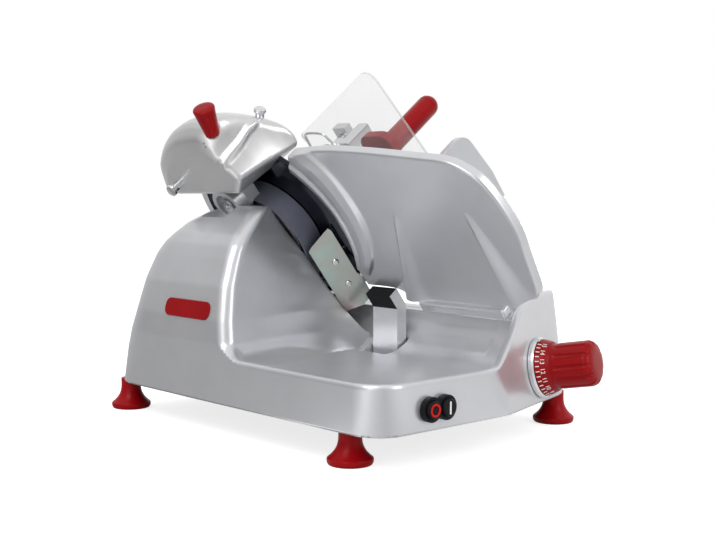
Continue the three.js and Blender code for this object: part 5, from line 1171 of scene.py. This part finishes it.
class SLICER_OT_switch(Operator):
    """Add the ring on the stop button and the bar on the start button"""
    bl_idname = "slicer.switch"
    bl_label = "Switch marks"

    def execute(self, context):
        for name, look in (("stop_button", "red_mark"), ("start_button", "white_mark")):
            low, high = [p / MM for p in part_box(name)]
            place = Matrix.Translation(((low.x + high.x) / 2, low.y, (low.z + high.z) / 2))
            place = place @ Matrix.Rotation(math.pi / 2, 4, "X")
            if look == "red_mark":
                ring = [(3.7, -0.4), (5.5, -0.4), (5.5, 0.25), (3.7, 0.25), (3.7, -0.4)]
                obj = turned("mark_o", ring, place, 64)
            else:
                shape = Matrix.Diagonal((0.85, 5.2, 0.3, 1))
                obj = merged("mark_i", [(unit_box(), place @ shape)])
            mark(obj, look, BODY_OF[name])
        return {"FINISHED"}


FOOT_BELL = [(19.5, 5.5)] + [
    (19.5 + (9.8 - 19.5) * (1 - (1 - t) ** 2.7), 5.5 + (24.8 - 5.5) * t)
    for t in np.linspace(0.03, 1, 16)
]
CLAMP_PROFILE = [
    (0, -22), (4, -22), (4, -3.5), (6.6, -3.5), (7.2, 0), (10.3, 23), (10.6, 24.6), (9.8, 26.2),
    (6, 26.9), (0, 27),
]
CLAMP_MIDDLE = -5.5


def clamp_frame():
    """The clamp knob's seat: z along its stud, which the joint's place lies on."""
    along = Vector(JOINTS["clamp_turn"]["axis"]).normalized()
    if along.z < 0:
        along = -along
    place = joint_place("clamp_turn")
    low, high = [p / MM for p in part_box("clamp_knob")]
    centre = (low + high) / 2
    middle = place + along * (centre - place).dot(along)
    return axes(middle + along * CLAMP_MIDDLE, (0, 1, 0), along)


class SLICER_OT_turnings(Operator):
    """Build the bell-shaped feet and the clamp knob"""
    bl_idname = "slicer.turnings"
    bl_label = "Turned pieces"

    def execute(self, context):
        profile = [(0, 0), (18.2, 0), (19.5, 2.4)] + FOOT_BELL + [
            (9.8, 30.7), (2.5, 30.7), (2.5, 39), (0, 39)]
        for name in [n for n in frame["nodes"] if n.startswith("foot_")]:
            low, high = [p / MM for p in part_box(name)]
            place = Matrix.Translation(((low.x + high.x) / 2, (low.y + high.y) / 2, 0))
            foot = turned(name.replace("foot_", "bell_"), softened(profile, 0.9, 4), place)
            finish_piece(foot, "red_rubber", name)
        knob = turned("clamp_grip", softened(CLAMP_PROFILE, 0.9, 4), clamp_frame(), 96)
        finish_piece(knob, "red_plastic", "clamp_knob")
        return {"FINISHED"}


ARM_BLACK_FROM = 107.0


def second_look(obj, look, chosen):
    """Gives some faces, chosen by their centre and normal, another material."""
    obj.data.materials.append(material(look))
    for face in obj.data.polygons:
        if chosen(face.center, face.normal):
            face.material_index = 1


class SLICER_OT_fittings(Operator):
    """Dress every other piece of the frame with softened edges"""
    bl_idname = "slicer.fittings"
    bl_label = "Fittings"

    def execute(self, context):
        edge = context.scene.slicer_sizes.edge
        for name, node in frame["nodes"].items():
            if node.hide_render:
                continue
            obj = dressed("dressed_" + name, name, edge, look_of(name))
            if name == "hand_guard":
                # The guard's edge faces are given painted shade, grey and half opaque, in place of
                # the refraction at its edges.
                second_look(obj, "clear_edge", lambda c, n: abs(n.dot(CUT.col[2].xyz)) < 0.9)
            if name == "gauge_arm":
                second_look(obj, "black_plastic", lambda c, n: c.z > ARM_BLACK_FROM * MM)
        return {"FINISHED"}


class SLICER_PT_panel(Panel):
    """The slicer's settings and steps."""
    bl_idname = "SLICER_PT_panel"
    bl_label = "Slicer"
    bl_space_type = "VIEW_3D"
    bl_region_type = "UI"
    bl_category = "Slicer"

    def draw(self, context):
        for group in (context.scene.slicer_studio, context.scene.slicer_sizes,
                      context.scene.slicer_colours):
            for name in group.__annotations__:
                self.layout.prop(group, name)
        for operator in STEPS:
            self.layout.operator(operator.bl_idname)


STEPS = (SLICER_OT_stage, SLICER_OT_castings, SLICER_OT_dial, SLICER_OT_switch,
         SLICER_OT_turnings, SLICER_OT_fittings)
CLASSES = (SlicerStudio, SlicerSizes, SlicerColours, *STEPS, SLICER_PT_panel)


def register():
    for cls in CLASSES:
        bpy.utils.register_class(cls)
    bpy.types.Scene.slicer_studio = PointerProperty(type=SlicerStudio)
    bpy.types.Scene.slicer_sizes = PointerProperty(type=SlicerSizes)
    bpy.types.Scene.slicer_colours = PointerProperty(type=SlicerColours)


def unregister():
    del bpy.types.Scene.slicer_colours
    del bpy.types.Scene.slicer_sizes
    del bpy.types.Scene.slicer_studio
    for cls in reversed(CLASSES):
        bpy.utils.unregister_class(cls)


def main():
    register()
    for operator in STEPS:
        area, step = operator.bl_idname.split(".")
        getattr(getattr(bpy.ops, area), step)()


if __name__ == "__main__":
    main()
